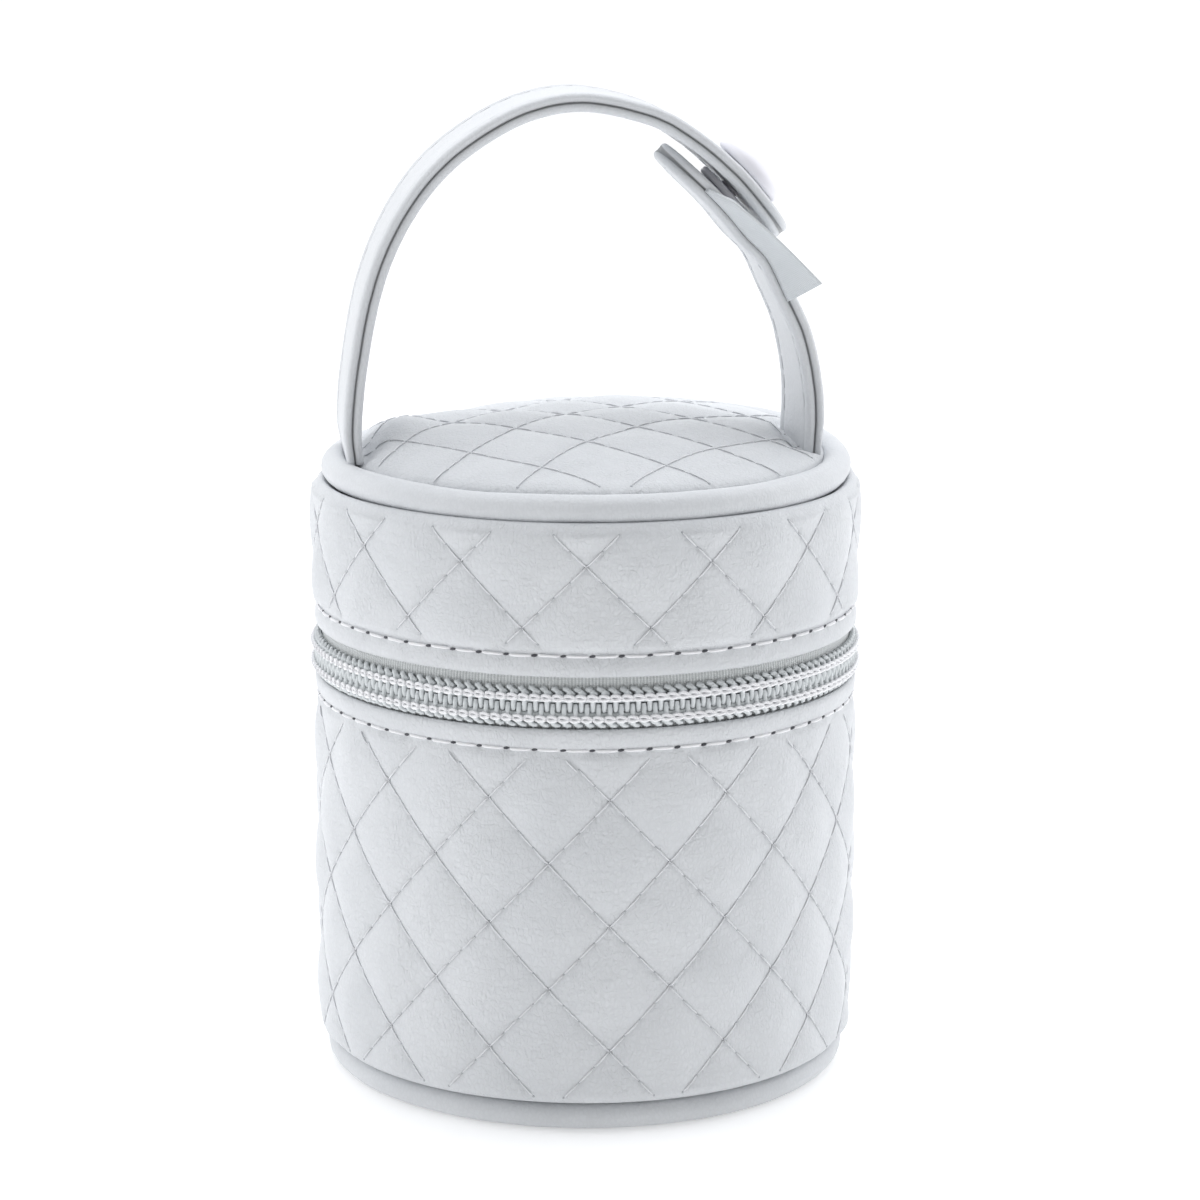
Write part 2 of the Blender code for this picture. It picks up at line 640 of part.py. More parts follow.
def strap_sections(route, outer_side, twist_deg=0.0):
    """Sections of a flat strap with turned edges, from its root to its round tip. A twist fades out on the way."""
    half_width = STRAP_WIDTH / 2
    half_thick = STRAP_THICKNESS / 2
    straight = route.length - half_width
    stations = [(straight * i / STRAP_STEPS, 1.0) for i in range(STRAP_STEPS + 1)]
    for i in range(1, TIP_STEPS + 1):
        angle = math.radians(STRAP_TIP_TURN_DEG * i / TIP_STEPS)
        stations.append((straight + half_width * math.sin(angle), math.cos(angle)))
    sections = []
    for distance, narrow in stations:
        centre = route.at(distance)
        outward = outward_of(route.along(distance)) * outer_side
        fade = max(0.0, 1.0 - distance / (route.length - SHORT_STRAP_OVERLAP))
        twist = math.radians(twist_deg) * fade
        front = OUTWARD * math.cos(twist) + outward * math.sin(twist)
        outward = outward * math.cos(twist) - OUTWARD * math.sin(twist)
        wide = half_width * narrow
        flat = wide - STRAP_ROUNDED_EDGE * narrow
        half_section = [(flat, -1.0), (wide, -0.5), (wide, 0.5), (flat, 1.0)]
        corners = half_section + [(-y, n) for y, n in reversed(half_section)]
        sections.append([centre + front * y + outward * n * half_thick for y, n in corners])
    return sections


def snap_frame(long_route):
    """Centre of the snap on the long strap's middle line, and the snap's axis."""
    distance = long_route.length - SNAP_FROM_TIP
    return long_route.at(distance), outward_of(long_route.along(distance))


def place_on_axis(obj, centre, axis):
    """Stand a turned piece, made round Z, on the snap's axis."""
    obj.rotation_mode = "QUATERNION"
    obj.rotation_quaternion = axis.to_track_quat("Z", "Y")
    obj.location = centre


def straps_and_snap(cloth, plastic, collection, cutters):
    """The two straps, with a hole each for the snap's post, and the three pieces of the snap."""
    long_route, short_route = handle_routes()
    centre, axis = snap_frame(long_route)
    half_thick = STRAP_THICKNESS / 2
    hole_radius = SNAP_POST_RADIUS + GAP
    reach = half_thick + SNAP_STACK + SNAP_STUD_DEPTH + GAP
    cutter_profile = [(0.0, STRAP_THICKNESS), (hole_radius, STRAP_THICKNESS), (hole_radius, -reach), (0.0, -reach)]
    cutter = add_object("snap_hole_cutter", turned_disc(cutter_profile, SNAP_STEPS), plastic, cutters)
    place_on_axis(cutter, centre, axis)
    cutter.hide_render = True
    cutter.display_type = "WIRE"
    straps = (("strap_long", long_route, 1, 0.0), ("strap_short", short_route, -1, SHORT_STRAP_TWIST_DEG))
    for name, route, outer_side, twist_deg in straps:
        sections = strap_sections(route, outer_side, twist_deg)
        strap = add_object(name, lofted(sections), cloth, collection)
        hole = strap.modifiers.new("Snap hole", "BOOLEAN")
        hole.operation = "DIFFERENCE"
        hole.solver = "EXACT"
        hole.object = cutter
    seat = half_thick + GAP
    rim = SNAP_CAP_HEIGHT / 3
    cap_profile = [(0.0, seat + SNAP_CAP_HEIGHT)]
    for i in range(1, CAP_RINGS + 1):
        angle = math.pi / 2 * i / CAP_RINGS
        dome_z = seat + rim + (SNAP_CAP_HEIGHT - rim) * math.cos(angle)
        cap_profile.append((SNAP_CAP_RADIUS * math.sin(angle), dome_z))
    socket_top = -half_thick - GAP - STRAP_BEND_ROOM
    socket_low = socket_top - SNAP_SOCKET_THICKNESS
    post_end = socket_top - SNAP_SOCKET_THICKNESS / 2
    cap_profile += [
        (SNAP_CAP_RADIUS, seat + rim / 3),
        (SNAP_CAP_RADIUS - rim / 3, seat),
        (SNAP_POST_RADIUS, seat),
        (SNAP_POST_RADIUS, post_end),
        (0.0, post_end),
    ]
    cap = add_object("snap_cap", turned_disc(cap_profile, SNAP_STEPS), plastic, collection)
    place_on_axis(cap, centre, axis)
    socket_profile = [
        (SNAP_SOCKET_RADIUS, socket_top),
        (SNAP_SOCKET_RADIUS, socket_low),
        (hole_radius, socket_low),
        (hole_radius, socket_top),
    ]
    socket = add_object("snap_socket", turned(socket_profile, SNAP_STEPS), plastic, collection)
    place_on_axis(socket, centre, axis)
    stud_top = post_end - GAP
    stud_low = -half_thick - SNAP_STACK - SNAP_STUD_DEPTH
    stud_profile = [
        (0.0, stud_top),
        (SNAP_POST_RADIUS, stud_top),
        (SNAP_POST_RADIUS, stud_low),
        (0.0, stud_low),
    ]
    stud = add_object("snap_stud", turned_disc(stud_profile, SNAP_STEPS), plastic, collection)
    place_on_axis(stud, centre, axis)
    return short_route


def turn_at(share):
    """How far the ribbon label's free edge has turned, read between the rows of its table."""
    for here, after in zip(LABEL_TURNS, LABEL_TURNS[1:]):
        if share <= after["along"]:
            part = (share - here["along"]) / (after["along"] - here["along"])
            return math.radians(here["turn_deg"] + part * (after["turn_deg"] - here["turn_deg"]))
    return math.radians(LABEL_TURNS[-1]["turn_deg"])


def ribbon_label(short_route, material, collection):
    """The bare ribbon that is caught between the straps: one edge runs along the short strap's front edge."""
    sections = []
    for i in range(LABEL_STEPS + 1):
        share = i / LABEL_STEPS
        distance = short_route.length - LABEL_FROM_TIP - share * LABEL_LENGTH
        tangent = short_route.along(distance)
        strap_out = -outward_of(tangent)
        turn = turn_at(share)
        across = OUTWARD * math.cos(turn) + strap_out * math.sin(turn)
        thick = tangent.cross(across).normalized() * LABEL_THICKNESS / 2
        near = short_route.at(distance) + OUTWARD * (STRAP_WIDTH / 2 + GAP + LABEL_THICKNESS / 2)
        far = near + across * LABEL_WIDTH
        sections.append([near - thick, near + thick, far + thick, far - thick])
    return add_object("ribbon_label", lofted(sections), material, collection)


def build_case():
    """Make every piece of the case."""
    clear_scene()
    parts = new_collection("pacifier_case")
    cutters = new_collection("cutters", hidden=True)
    leather = principled("quilted_faux_leather", (0.80, 0.81, 0.84), 0.45)
    tape = principled("zip_tape_weave", (0.62, 0.63, 0.66), 0.85)
    nylon = principled("nylon_coil", (0.66, 0.67, 0.70), 0.5)
    plastic = principled("white_snap_plastic", (0.88, 0.88, 0.88), 0.25)
    ribbon = principled("satin_ribbon", (0.70, 0.71, 0.72), 0.5)
    metal = principled("slider_enamel", (0.72, 0.73, 0.76), 0.35)

    base_panel(leather, parts)
    torus("base_piping", BASE_PIPING_RING_RADIUS, PIPING_RADIUS, BASE_PIPING_Z, leather, parts)
    base_wall(leather, parts)
    zip_and_hinge(tape, nylon, leather, parts)
    zipper_slider(metal, parts, cutters)
    lid_wall(leather, parts)
    lid_piping(leather, parts)
    lid_panel(leather, parts)
    short_route = straps_and_snap(leather, plastic, parts, cutters)
    ribbon_label(short_route, ribbon, parts)


build_case()
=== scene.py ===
"""Looks of the round quilted pacifier case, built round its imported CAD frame.

Metres, +Z up, front towards -Y. Angles are measured from the front towards +X.
"""

import math

import bmesh
import bpy
import numpy as np
from mathutils import Matrix, Vector, noise


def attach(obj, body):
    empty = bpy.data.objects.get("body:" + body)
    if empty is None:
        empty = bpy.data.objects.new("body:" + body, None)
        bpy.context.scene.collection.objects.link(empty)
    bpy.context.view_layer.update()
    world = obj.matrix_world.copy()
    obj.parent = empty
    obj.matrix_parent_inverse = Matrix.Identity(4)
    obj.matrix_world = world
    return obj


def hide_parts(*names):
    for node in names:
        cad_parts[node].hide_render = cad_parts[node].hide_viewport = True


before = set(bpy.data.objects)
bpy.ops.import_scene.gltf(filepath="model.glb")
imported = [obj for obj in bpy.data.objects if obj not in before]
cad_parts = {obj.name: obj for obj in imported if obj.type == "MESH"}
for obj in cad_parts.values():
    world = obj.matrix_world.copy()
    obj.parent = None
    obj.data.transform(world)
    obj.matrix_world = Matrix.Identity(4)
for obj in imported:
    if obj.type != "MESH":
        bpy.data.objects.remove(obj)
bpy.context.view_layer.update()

MM = 0.001

# Body of the case, as in the CAD
CASE_RADIUS = 40.2 * MM
BASE_BELLY_RADIUS = 40.6 * MM
LID_BELLY_RADIUS = 40.8 * MM
WALL = 3.2 * MM
QUILT_PUFF = 0.8 * MM
QUILT_FULLNESS = 0.72
BASE_TOP_Z = 59.2 * MM
LID_EDGE_Z = 66.6 * MM
LID_TOP_Z = 87.4 * MM
TOPSTITCH_INSET = 3.0 * MM
TAPE_HIDDEN = 5.6 * MM
BASE_PIPING_RADIUS = 2.0 * MM
LID_PIPING_RADIUS = 2.15 * MM
BASE_PIPING_RING = 36.9 * MM
LID_PIPING_RING = 36.75 * MM
BASE_PIPING_Z = 2.0 * MM
LID_PIPING_Z = 89.60 * MM
BASE_PANEL_RADIUS = 34.6 * MM
LID_PANEL_RADIUS = 34.3 * MM
LID_PANEL_RIM_Z = 90.7 * MM
PANEL_THICKNESS = 3.0 * MM
DOME_RISE = 7.0 * MM
DOME_FULLNESS = 0.65
DOME_PEAK_SHIFT = 3.0 * MM
RIM_LIFT = 2.2 * MM
RIM_LIFT_DEG = 142.0

# Diamond quilting
CELLS = 16
HOLE_EVERY = 4
BASE_QUILT = {"half_diamonds": 29, "height": 18.3 * MM, "crossing_deg": -2.2, "crossing_z": 30.6 * MM}
LID_QUILT = {"half_diamonds": 28, "height": 17.6 * MM, "crossing_deg": 5.8, "crossing_z": 73.4 * MM}
PANEL_DIAMOND = 17.6 * MM
HOLE_DEPTH = 0.14 * MM
CROSSING_DEPTH = 0.20 * MM
HOLE_WIDTH = 0.40 * MM
CROSSING_WIDTH = 0.60 * MM
FADE_CELLS = 2.5
BACK_SEAM_CELLS = 1.6
BACK_SEAM_DEPTH = 0.6 * MM

# Zip
ZIP_Z = 62.308 * MM
ZIP_HALF_DEG = 158.5
HINGE_DEG = 42.0
TAPE_RADIUS = 39.1 * MM
TAPE_THICKNESS = 0.6 * MM
TOOTH_PITCH = 1.6 * MM
CHAIN_OFFSET = 1.5 * MM
CHAIN_PROUD = 0.74 * MM
ZIP_CORD_OFFSET = 1.15 * MM
ZIP_CORD_RADIUS = 0.42 * MM
COIL_RADIUS = 39.60 * MM

# Threads
TOPSTITCH_PITCH = 4.1 * MM
TOPSTITCH_COUNT = round(math.tau * CASE_RADIUS / TOPSTITCH_PITCH)
TOPSTITCH_PROUD = 0.02 * MM
BASE_STITCH_RADIUS = 39.85 * MM
LID_STITCH_RADIUS = 39.88 * MM
THREAD_RADIUS = 0.22 * MM
QUILT_THREAD_RADIUS = 0.13 * MM
STRAP_THREAD_RADIUS = 0.12 * MM

# Handle strap, snap and label, as in the CAD
STRAP_WIDTH = 18.0 * MM
STRAP_THICKNESS = 2.6 * MM
HANDLE_HALF_SPAN = 34.8 * MM
HANDLE_RISE = 51.0 * MM
HANDLE_ROOT_Z = 92.0 * MM
SHORT_STRAP_OVERLAP = 22.5 * MM
SHORT_STRAP_TWIST_DEG = 3.0
STRAP_STITCH_INSET = 2.3 * MM
STRAP_STITCH_PITCH = 3.0 * MM
SNAP_FROM_TIP = 10.0 * MM
SNAP_STACK = 2.0 * MM
LABEL_LENGTH = 20.5 * MM
LABEL_FROM_TIP = 7.6 * MM
RIBBON_THICKNESS = 0.2 * MM

LONG_ROUTE = [
    {"x": -0.990, "z": 0.000},
    {"x": -1.000, "z": 0.094},
    {"x": -0.974, "z": 0.269},
    {"x": -0.911, "z": 0.478},
    {"x": -0.810, "z": 0.651},
    {"x": -0.661, "z": 0.796},
    {"x": -0.468, "z": 0.906},
    {"x": -0.264, "z": 0.976},
    {"x": -0.030, "z": 1.000},
    {"x": 0.245, "z": 0.958},
    {"x": 0.435, "z": 0.882},
    {"x": 0.592, "z": 0.788},
    {"x": 0.715, "z": 0.690},
    {"x": 0.818, "z": 0.600},
]
SHORT_ROUTE = [
    {"x": 0.922, "z": 0.000},
    {"x": 0.928, "z": 0.094},
    {"x": 0.914, "z": 0.202},
    {"x": 0.871, "z": 0.327},
    {"x": 0.796, "z": 0.447},
]
OVERLAP_ROUTE = [
    {"back": 0.00, "apart": 0.80},
    {"back": 0.20, "apart": 1.00},
    {"back": 0.40, "apart": 1.00},
    {"back": 0.60, "apart": 1.00},
    {"back": 1.00, "apart": 0.60},
]
LABEL_FREE_EDGE = [{"x": 17.2, "y": -12.0, "z": 130.8}, {"x": 32.2, "y": -13.3, "z": 117.3}]

TO_FRONT = Vector((0.0, -1.0, 0.0))


# Camera, floor and light

def photo_camera():
    """The camera that was fitted to the rims and seams in the photo."""
    camera = bpy.data.objects.new("photo_camera", bpy.data.cameras.new("photo_camera"))
    bpy.context.scene.collection.objects.link(camera)
    camera.data.sensor_width = 36.0
    camera.data.lens = 107.45
    camera.data.clip_start = 0.01
    camera.data.clip_end = 20.0
    turn, pitch, roll = math.radians(-7.4), math.radians(90.0 - 12.24), math.radians(0.16)
    facing = Matrix.Rotation(turn, 4, "Z") @ Matrix.Rotation(pitch, 4, "X") @ Matrix.Rotation(roll, 4, "Z")
    camera.matrix_world = Matrix.Translation((-0.06487, -0.51594, 0.18177)) @ facing
    bpy.context.scene.camera = camera


def soft_light(name, place, aim, size, watts, colour=(1.0, 1.0, 1.0)):
    """A large soft box that faces a point."""
    data = bpy.data.lights.new(name, "AREA")
    data.shape = "RECTANGLE"
    data.size, data.size_y = size
    data.energy = watts
    data.color = colour
    lamp = bpy.data.objects.new(name, data)
    bpy.context.scene.collection.objects.link(lamp)
    lamp.location = place
    lamp.rotation_euler = (Vector(aim) - Vector(place)).to_track_quat("-Z", "Y").to_euler()


def studio():
    """White floor, a surround that is darker behind the camera, and soft boxes at both sides."""
    bpy.context.scene.view_settings.view_transform = "Standard"
    world = bpy.data.worlds.new("studio")
    bpy.context.scene.world = world
    world.use_nodes = True
    tree = world.node_tree
    background = tree.nodes["Background"]
    coords = tree.nodes.new("ShaderNodeTexCoord")
    split = tree.nodes.new("ShaderNodeSeparateXYZ")
    fade = tree.nodes.new("ShaderNodeMapRange")
    for key, value in (("From Min", -1.0), ("From Max", 0.35), ("To Min", 0.17), ("To Max", 1.15)):
        fade.inputs[key].default_value = value
    tree.links.new(coords.outputs["Generated"], split.inputs["Vector"])
    tree.links.new(split.outputs["Y"], fade.inputs["Value"])
    tree.links.new(fade.outputs["Result"], background.inputs["Strength"])
    background.inputs["Color"].default_value = (0.98, 0.99, 1.0, 1.0)

    centre = (0.0, 0.0, 0.07)
    cool = (0.93, 0.95, 1.0)
    boxes = (
        ("left_box", (-0.75, 0.10, 0.30), (0.5, 0.8), 0.95),
        ("right_box", (0.75, 0.15, 0.30), (0.5, 0.8), 1.15),
        ("top_box", (0.05, 0.16, 0.85), (0.8, 0.8), 3.5),
    )
    for name, place, size, watts in boxes:
        soft_light(name, place, centre, size, watts, cool)

    bpy.ops.mesh.primitive_plane_add(size=12.0, location=(0.0, 0.0, 0.0))
    floor = bpy.context.object
    floor.name = "floor"
    paper = Finish("white_paper")
    grain = paper.cloud(paper.millimetres(), 0.02, 2.0)
    shade = paper.between(grain.outputs["Fac"], (0.90, 0.90, 0.90), (0.93, 0.93, 0.93))
    paper.surface(shade, 0.9)
    paper.shader.inputs["Emission Color"].default_value = (1.0, 1.0, 1.0, 1.0)
    paper.shader.inputs["Emission Strength"].default_value = 0.27
    floor.data.materials.append(paper.material)


# Finishes

class Finish:
    """A material that is built node by node."""

    def __init__(self, name):
        self.material = bpy.data.materials.new(name)
        self.material.use_nodes = True
        self.tree = self.material.node_tree
        self.shader = self.tree.nodes["Principled BSDF"]
        self.normal = None

    def node(self, kind, inputs=None, **settings):
        """One node, with its settings and with its inputs linked or set."""
        made = self.tree.nodes.new(kind)
        for key, value in settings.items():
            setattr(made, key, value)
        for key, value in (inputs or {}).items():
            if isinstance(value, bpy.types.NodeSocket):
                self.tree.links.new(value, made.inputs[key])
            else:
                made.inputs[key].default_value = value
        return made

    def millimetres(self, stretch=(1.0, 1.0, 1.0)):
        """The place on the object, in millimetres."""
        coords = self.node("ShaderNodeTexCoord")
        scale = [1.0 / MM * share for share in stretch]
        return self.node("ShaderNodeMapping", {"Vector": coords.outputs["Object"], "Scale": scale}).outputs[0]

    def flat_pattern(self, stretch=(1.0, 1.0, 1.0)):
        """The place on the piece's flat pattern, in millimetres."""
        coords = self.node("ShaderNodeUVMap", uv_map="flat")
        return self.node("ShaderNodeMapping", {"Vector": coords.outputs["UV"], "Scale": stretch}).outputs[0]

    def between(self, factor, low, high):
        """A colour between two, or a mix of colour sockets."""
        mix = self.node("ShaderNodeMix", data_type="RGBA")
        for socket, value in ((mix.inputs[0], factor), (mix.inputs[6], low), (mix.inputs[7], high)):
            if isinstance(value, bpy.types.NodeSocket):
                self.tree.links.new(value, socket)
            elif isinstance(value, (int, float)):
                socket.default_value = value
            else:
                socket.default_value = (*value, 1.0)
        return mix.outputs[2]

    def ranged(self, value, low, high, to_low=0.0, to_high=1.0):
        """A value moved from one range to another, and kept in it."""
        limits = {"Value": value, "From Min": low, "From Max": high, "To Min": to_low, "To Max": to_high}
        return self.node("ShaderNodeMapRange", limits).outputs["Result"]

    def maths(self, operation, first, second=0.0):
        """Two values joined by one operation."""
        made = self.node("ShaderNodeMath", operation=operation)
        for socket, value in zip(made.inputs, (first, second)):
            if isinstance(value, bpy.types.NodeSocket):
                self.tree.links.new(value, socket)
            else:
                socket.default_value = value
        return made.outputs[0]

    def cloud(self, place, scale, detail, **more):
        """Soft noise at a place."""
        return self.node("ShaderNodeTexNoise", {"Vector": place, "Scale": scale, "Detail": detail, **more})

    def waves(self, place, scale, distortion, direction, **more):
        """Bands across a place."""
        inputs = {"Vector": place, "Scale": scale, "Distortion": distortion, **more}
        made = self.node("ShaderNodeTexWave", inputs)
        made.bands_direction = direction
        return made

    def bump(self, height, depth_mm, strength=1.0):
        """Adds relief on top of the relief so far."""
        inputs = {"Height": height, "Distance": depth_mm * MM, "Strength": strength}
        if self.normal is not None:
            inputs["Normal"] = self.normal
        self.normal = self.node("ShaderNodeBump", inputs).outputs["Normal"]

    def surface(self, colour, roughness, specular=0.4):
        """Joins colour, roughness and relief to the shader."""
        for key, value in (("Base Color", colour), ("Roughness", roughness), ("Normal", self.normal)):
            if isinstance(value, bpy.types.NodeSocket):
                self.tree.links.new(value, self.shader.inputs[key])
            elif isinstance(value, (int, float)):
                self.shader.inputs[key].default_value = value
            elif value is not None:
                self.shader.inputs[key].default_value = (*value, 1.0)
        self.shader.inputs["Specular IOR Level"].default_value = specular
        return self.material


def leather(name, pale, shade, grain_mm, wrinkle_mm, roughness, seam_shade_depth):
    """Soft faux leather: fine cells and short wrinkles, with painted shade in the grain's creases and along the
    seams.
    """
    finish = Finish(name)
    place = finish.millimetres()
    drift = finish.cloud(place, 0.45, 2.0)
    bent = finish.node("ShaderNodeVectorMath", operation="MULTIPLY_ADD")
    finish.tree.links.new(drift.outputs["Color"], bent.inputs[0])
    bent.inputs[1].default_value = (1.1, 1.1, 1.1)
    finish.tree.links.new(finish.millimetres((1.0, 1.0, 0.62)), bent.inputs[2])
    cells = finish.node(
        "ShaderNodeTexVoronoi",
        {"Vector": bent.outputs[0], "Scale": 1.55},
        feature="DISTANCE_TO_EDGE",
    )
    plates = finish.ranged(cells.outputs["Distance"], 0.0, 0.22)
    pores = finish.cloud(place, 3.2, 3.0, Roughness=0.6)
    creases = finish.cloud(finish.millimetres((1.0, 1.0, 2.4)), 0.42, 3.0, Distortion=0.6)
    ripples = finish.cloud(finish.millimetres((1.0, 1.0, 0.42)), 1.35, 2.0, Distortion=1.4)
    calm = finish.cloud(place, 0.16, 1.0)
    strong = finish.ranged(calm.outputs["Fac"], 0.42, 0.62, 0.15, 1.0)
    rippled = finish.maths("MULTIPLY", ripples.outputs["Fac"], strong)
    finish.bump(creases.outputs["Fac"], wrinkle_mm, 0.8)
    finish.bump(rippled, grain_mm * 5.0, 0.8)
    finish.bump(plates, grain_mm, 0.7)
    finish.bump(pores.outputs["Fac"], grain_mm * 0.7, 0.6)
    patches = finish.cloud(place, 0.055, 3.0)
    tone = finish.between(finish.ranged(patches.outputs["Fac"], 0.35, 0.65), shade, pale)
    # painted shade: the creases between the grain's cells are darkened
    crease_shaded = finish.between(finish.ranged(plates, 0.0, 1.0, 0.16, 0.0), tone, tuple(0.80 * c for c in shade))
    # painted shade: darker along seams, grooves, stitch dents and quilting lines, by the mesh's per-point shade
    # mask
    seam_shade = finish.node("ShaderNodeAttribute", attribute_name="seam_shade")
    seam_shaded = finish.between(
        finish.maths("MULTIPLY", seam_shade.outputs["Fac"], seam_shade_depth), crease_shaded, tuple(0.34 * c for c in shade)
    )
    gloss = finish.ranged(pores.outputs["Fac"], 0.3, 0.7, roughness - 0.05, roughness + 0.07)
    return finish.surface(seam_shaded, gloss)


def woven_tape(name, pale, dark):
    """Zip tape: upright ribs with finer threads across them."""
    finish = Finish(name)
    flat = finish.flat_pattern()
    ribs = finish.waves(flat, 0.66, 0.5, "X", Detail=1.0)
    across = finish.waves(flat, 1.0, 0.8, "Y", Detail=1.0)
    fibres = finish.cloud(flat, 3.0, 3.0)
    crossing = finish.ranged(across.outputs["Fac"], 0.0, 1.0, 0.6, 1.0)
    weave = finish.maths("MULTIPLY", ribs.outputs["Fac"], crossing)
    finish.bump(weave, 0.12, 0.8)
    finish.bump(fibres.outputs["Fac"], 0.05, 0.5)
    # painted shade: darker in the low parts of the weave, where its bump dips
    tone = finish.between(weave, dark, pale)
    worn = finish.between(finish.ranged(fibres.outputs["Fac"], 0.3, 0.7, 0.0, 0.25), tone, pale)
    return finish.surface(worn, 0.85, 0.2)


def thread_finish(name, pale, dark, twist):
    """Spun thread with a slanting twist."""
    finish = Finish(name)
    flat = finish.flat_pattern()
    turns = finish.waves(flat, twist, 0.3, "DIAGONAL")
    fuzz = finish.cloud(finish.millimetres(), 1.5, 2.0)
    finish.bump(turns.outputs["Fac"], 0.03, 0.5)
    # painted shade: darker in the grooves of the twist, where its bump dips
    tone = finish.between(turns.outputs["Fac"], dark, pale)
    tone = finish.between(finish.ranged(fuzz.outputs["Fac"], 0.3, 0.7, 0.0, 0.2), tone, pale)
    return finish.surface(tone, 0.6, 0.3)


def nylon(name, pale, dark):
    """Drawn nylon of the zip's teeth, slightly cloudy."""
    finish = Finish(name)
    cloud = finish.cloud(finish.millimetres(), 1.2, 3.0)
    lines = finish.waves(finish.flat_pattern(), 1.4, 1.0, "X")
    finish.bump(lines.outputs["Fac"], 0.02, 0.5)
    tone = finish.between(finish.ranged(cloud.outputs["Fac"], 0.3, 0.7), dark, pale)
    return finish.surface(tone, finish.ranged(cloud.outputs["Fac"], 0.3, 0.7, 0.32, 0.45), 0.5)


def moulded_plastic(name, pale, dark, roughness):
    """Smooth moulded plastic with the faintest unevenness."""
    finish = Finish(name)
    place = finish.millimetres()
    swirl = finish.cloud(place, 0.25, 2.0)
    skin = finish.cloud(place, 2.2, 2.0)
    finish.bump(skin.outputs["Fac"], 0.02, 0.4)
    tone = finish.between(finish.ranged(swirl.outputs["Fac"], 0.35, 0.65), dark, pale)
    gloss = finish.ranged(skin.outputs["Fac"], 0.3, 0.7, roughness - 0.04, roughness + 0.05)
    return finish.surface(tone, gloss, 0.5)


def satin(name, pale, dark):
    """Satin ribbon: very fine threads along it and a soft sheen."""
    finish = Finish(name)
    flat = finish.flat_pattern()
    along = finish.waves(flat, 1.6, 0.6, "Y", Detail=1.0)
    over = finish.waves(flat, 1.1, 0.8, "X", Detail=1.0)
    folds = finish.cloud(flat, 0.16, 2.0)
    weave = finish.maths("ADD", along.outputs["Fac"], finish.maths("MULTIPLY", over.outputs["Fac"], 0.5))
    finish.bump(folds.outputs["Fac"], 0.5, 0.5)
    finish.bump(weave, 0.03, 0.6)
    # painted shade: darker in the low parts of the weave, where its bump dips
    tone = finish.between(finish.ranged(weave, 0.2, 1.3), dark, pale)
    finish.shader.inputs["Sheen Weight"].default_value = 0.25
    return finish.surface(tone, 0.42, 0.4)


def enamel(name, pale, dark):
    """Painted metal of the slider, its tone and gloss a little uneven."""
    finish = Finish(name)
    place = finish.millimetres()
    flake = finish.cloud(place, 5.0, 2.0)
    rub = finish.cloud(place, 0.6, 3.0)
    finish.bump(flake.outputs["Fac"], 0.004, 0.4)
    tone = finish.between(finish.ranged(rub.outputs["Fac"], 0.42, 0.6), dark, pale)
    return finish.surface(tone, finish.ranged(rub.outputs["Fac"], 0.3, 0.7, 0.25, 0.4), 0.6)


# Mesh helpers

def lay_down(name, points, faces, material, uvs=None, seam_shade=None, outward=True):
    """A smooth mesh object from points and faces. uvs has one pair for each corner, in millimetres."""
    mesh = bpy.data.meshes.new(name)
    mesh.from_pydata([tuple(p) for p in points], [], faces)
    if uvs is not None:
        layer = mesh.uv_layers.new(name="flat")
        layer.data.foreach_set("uv", np.asarray(uvs, np.float32).ravel())
    # the per-point mask of painted shade along seams, grooves and creases
    if seam_shade is not None:
        mesh.attributes.new("seam_shade", "FLOAT", "POINT").data.foreach_set("value", np.asarray(seam_shade, np.float32))
    if outward:
        bm = bmesh.new()
        bm.from_mesh(mesh)
        bmesh.ops.recalc_face_normals(bm, faces=bm.faces)
        bm.to_mesh(mesh)
        bm.free()
    mesh.shade_smooth()
    mesh.materials.append(material)
    obj = bpy.data.objects.new(name, mesh)
    bpy.context.scene.collection.objects.link(obj)
    return obj


def ring_point(radius, angle, height):
    """A point at an angle from the front, in radians."""
    return (radius * math.sin(angle), -radius * math.cos(angle), height)


def settle(piece, nodes):
    """Puts a piece on the case's body, in place of its CAD nodes."""
    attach(piece, "root")
    if nodes:
        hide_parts(*nodes)
    return piece


def swept(name, sections, material, closed_path=False, seam_shade=None):
    """Joins equal sections into one closed skin, with the flat pattern's place on each corner."""
    count, size = len(sections), len(sections[0])
    points = [p for section in sections for p in section]
    runs = [0.0]
    for here, after in zip(sections, sections[1:] + sections[:1]):
        runs.append(runs[-1] + (Vector(after[0]) - Vector(here[0])).length / MM)
    rounds = [0.0]
    middle = sections[count // 2]
    for here, after in zip(middle, middle[1:] + middle[:1]):
        rounds.append(rounds[-1] + (Vector(after) - Vector(here)).length / MM)
    faces, uvs = [], []
    for i in range(count if closed_path else count - 1):
        after = (i + 1) % count
        for k in range(size):
            k2 = (k + 1) % size
            faces.append((i * size + k, i * size + k2, after * size + k2, after * size + k))
            low, high = rounds[k], rounds[k + 1]
            uvs += [(runs[i], low), (runs[i], high), (runs[i + 1], high), (runs[i + 1], low)]
    if not closed_path:
        faces.append(tuple(range(size))[::-1])
        faces.append(tuple((count - 1) * size + k for k in range(size)))
        uvs += [(0.0, 0.0)] * (2 * size)
    return lay_down(name, points, faces, material, uvs, seam_shade)


def round_section(radius, sides):
    """Points of a circle, as (across, up) pairs."""
    turns = [math.tau * k / sides for k in range(sides)]
    return [(radius * math.cos(turn), radius * math.sin(turn)) for turn in turns]


def spot(at, up, along, size):
    """Where a unit goes: its point, its up and long axes, and its size."""
    return {"at": at, "up": up, "along": along, "size": size}


# Repeated units, placed by one node tree

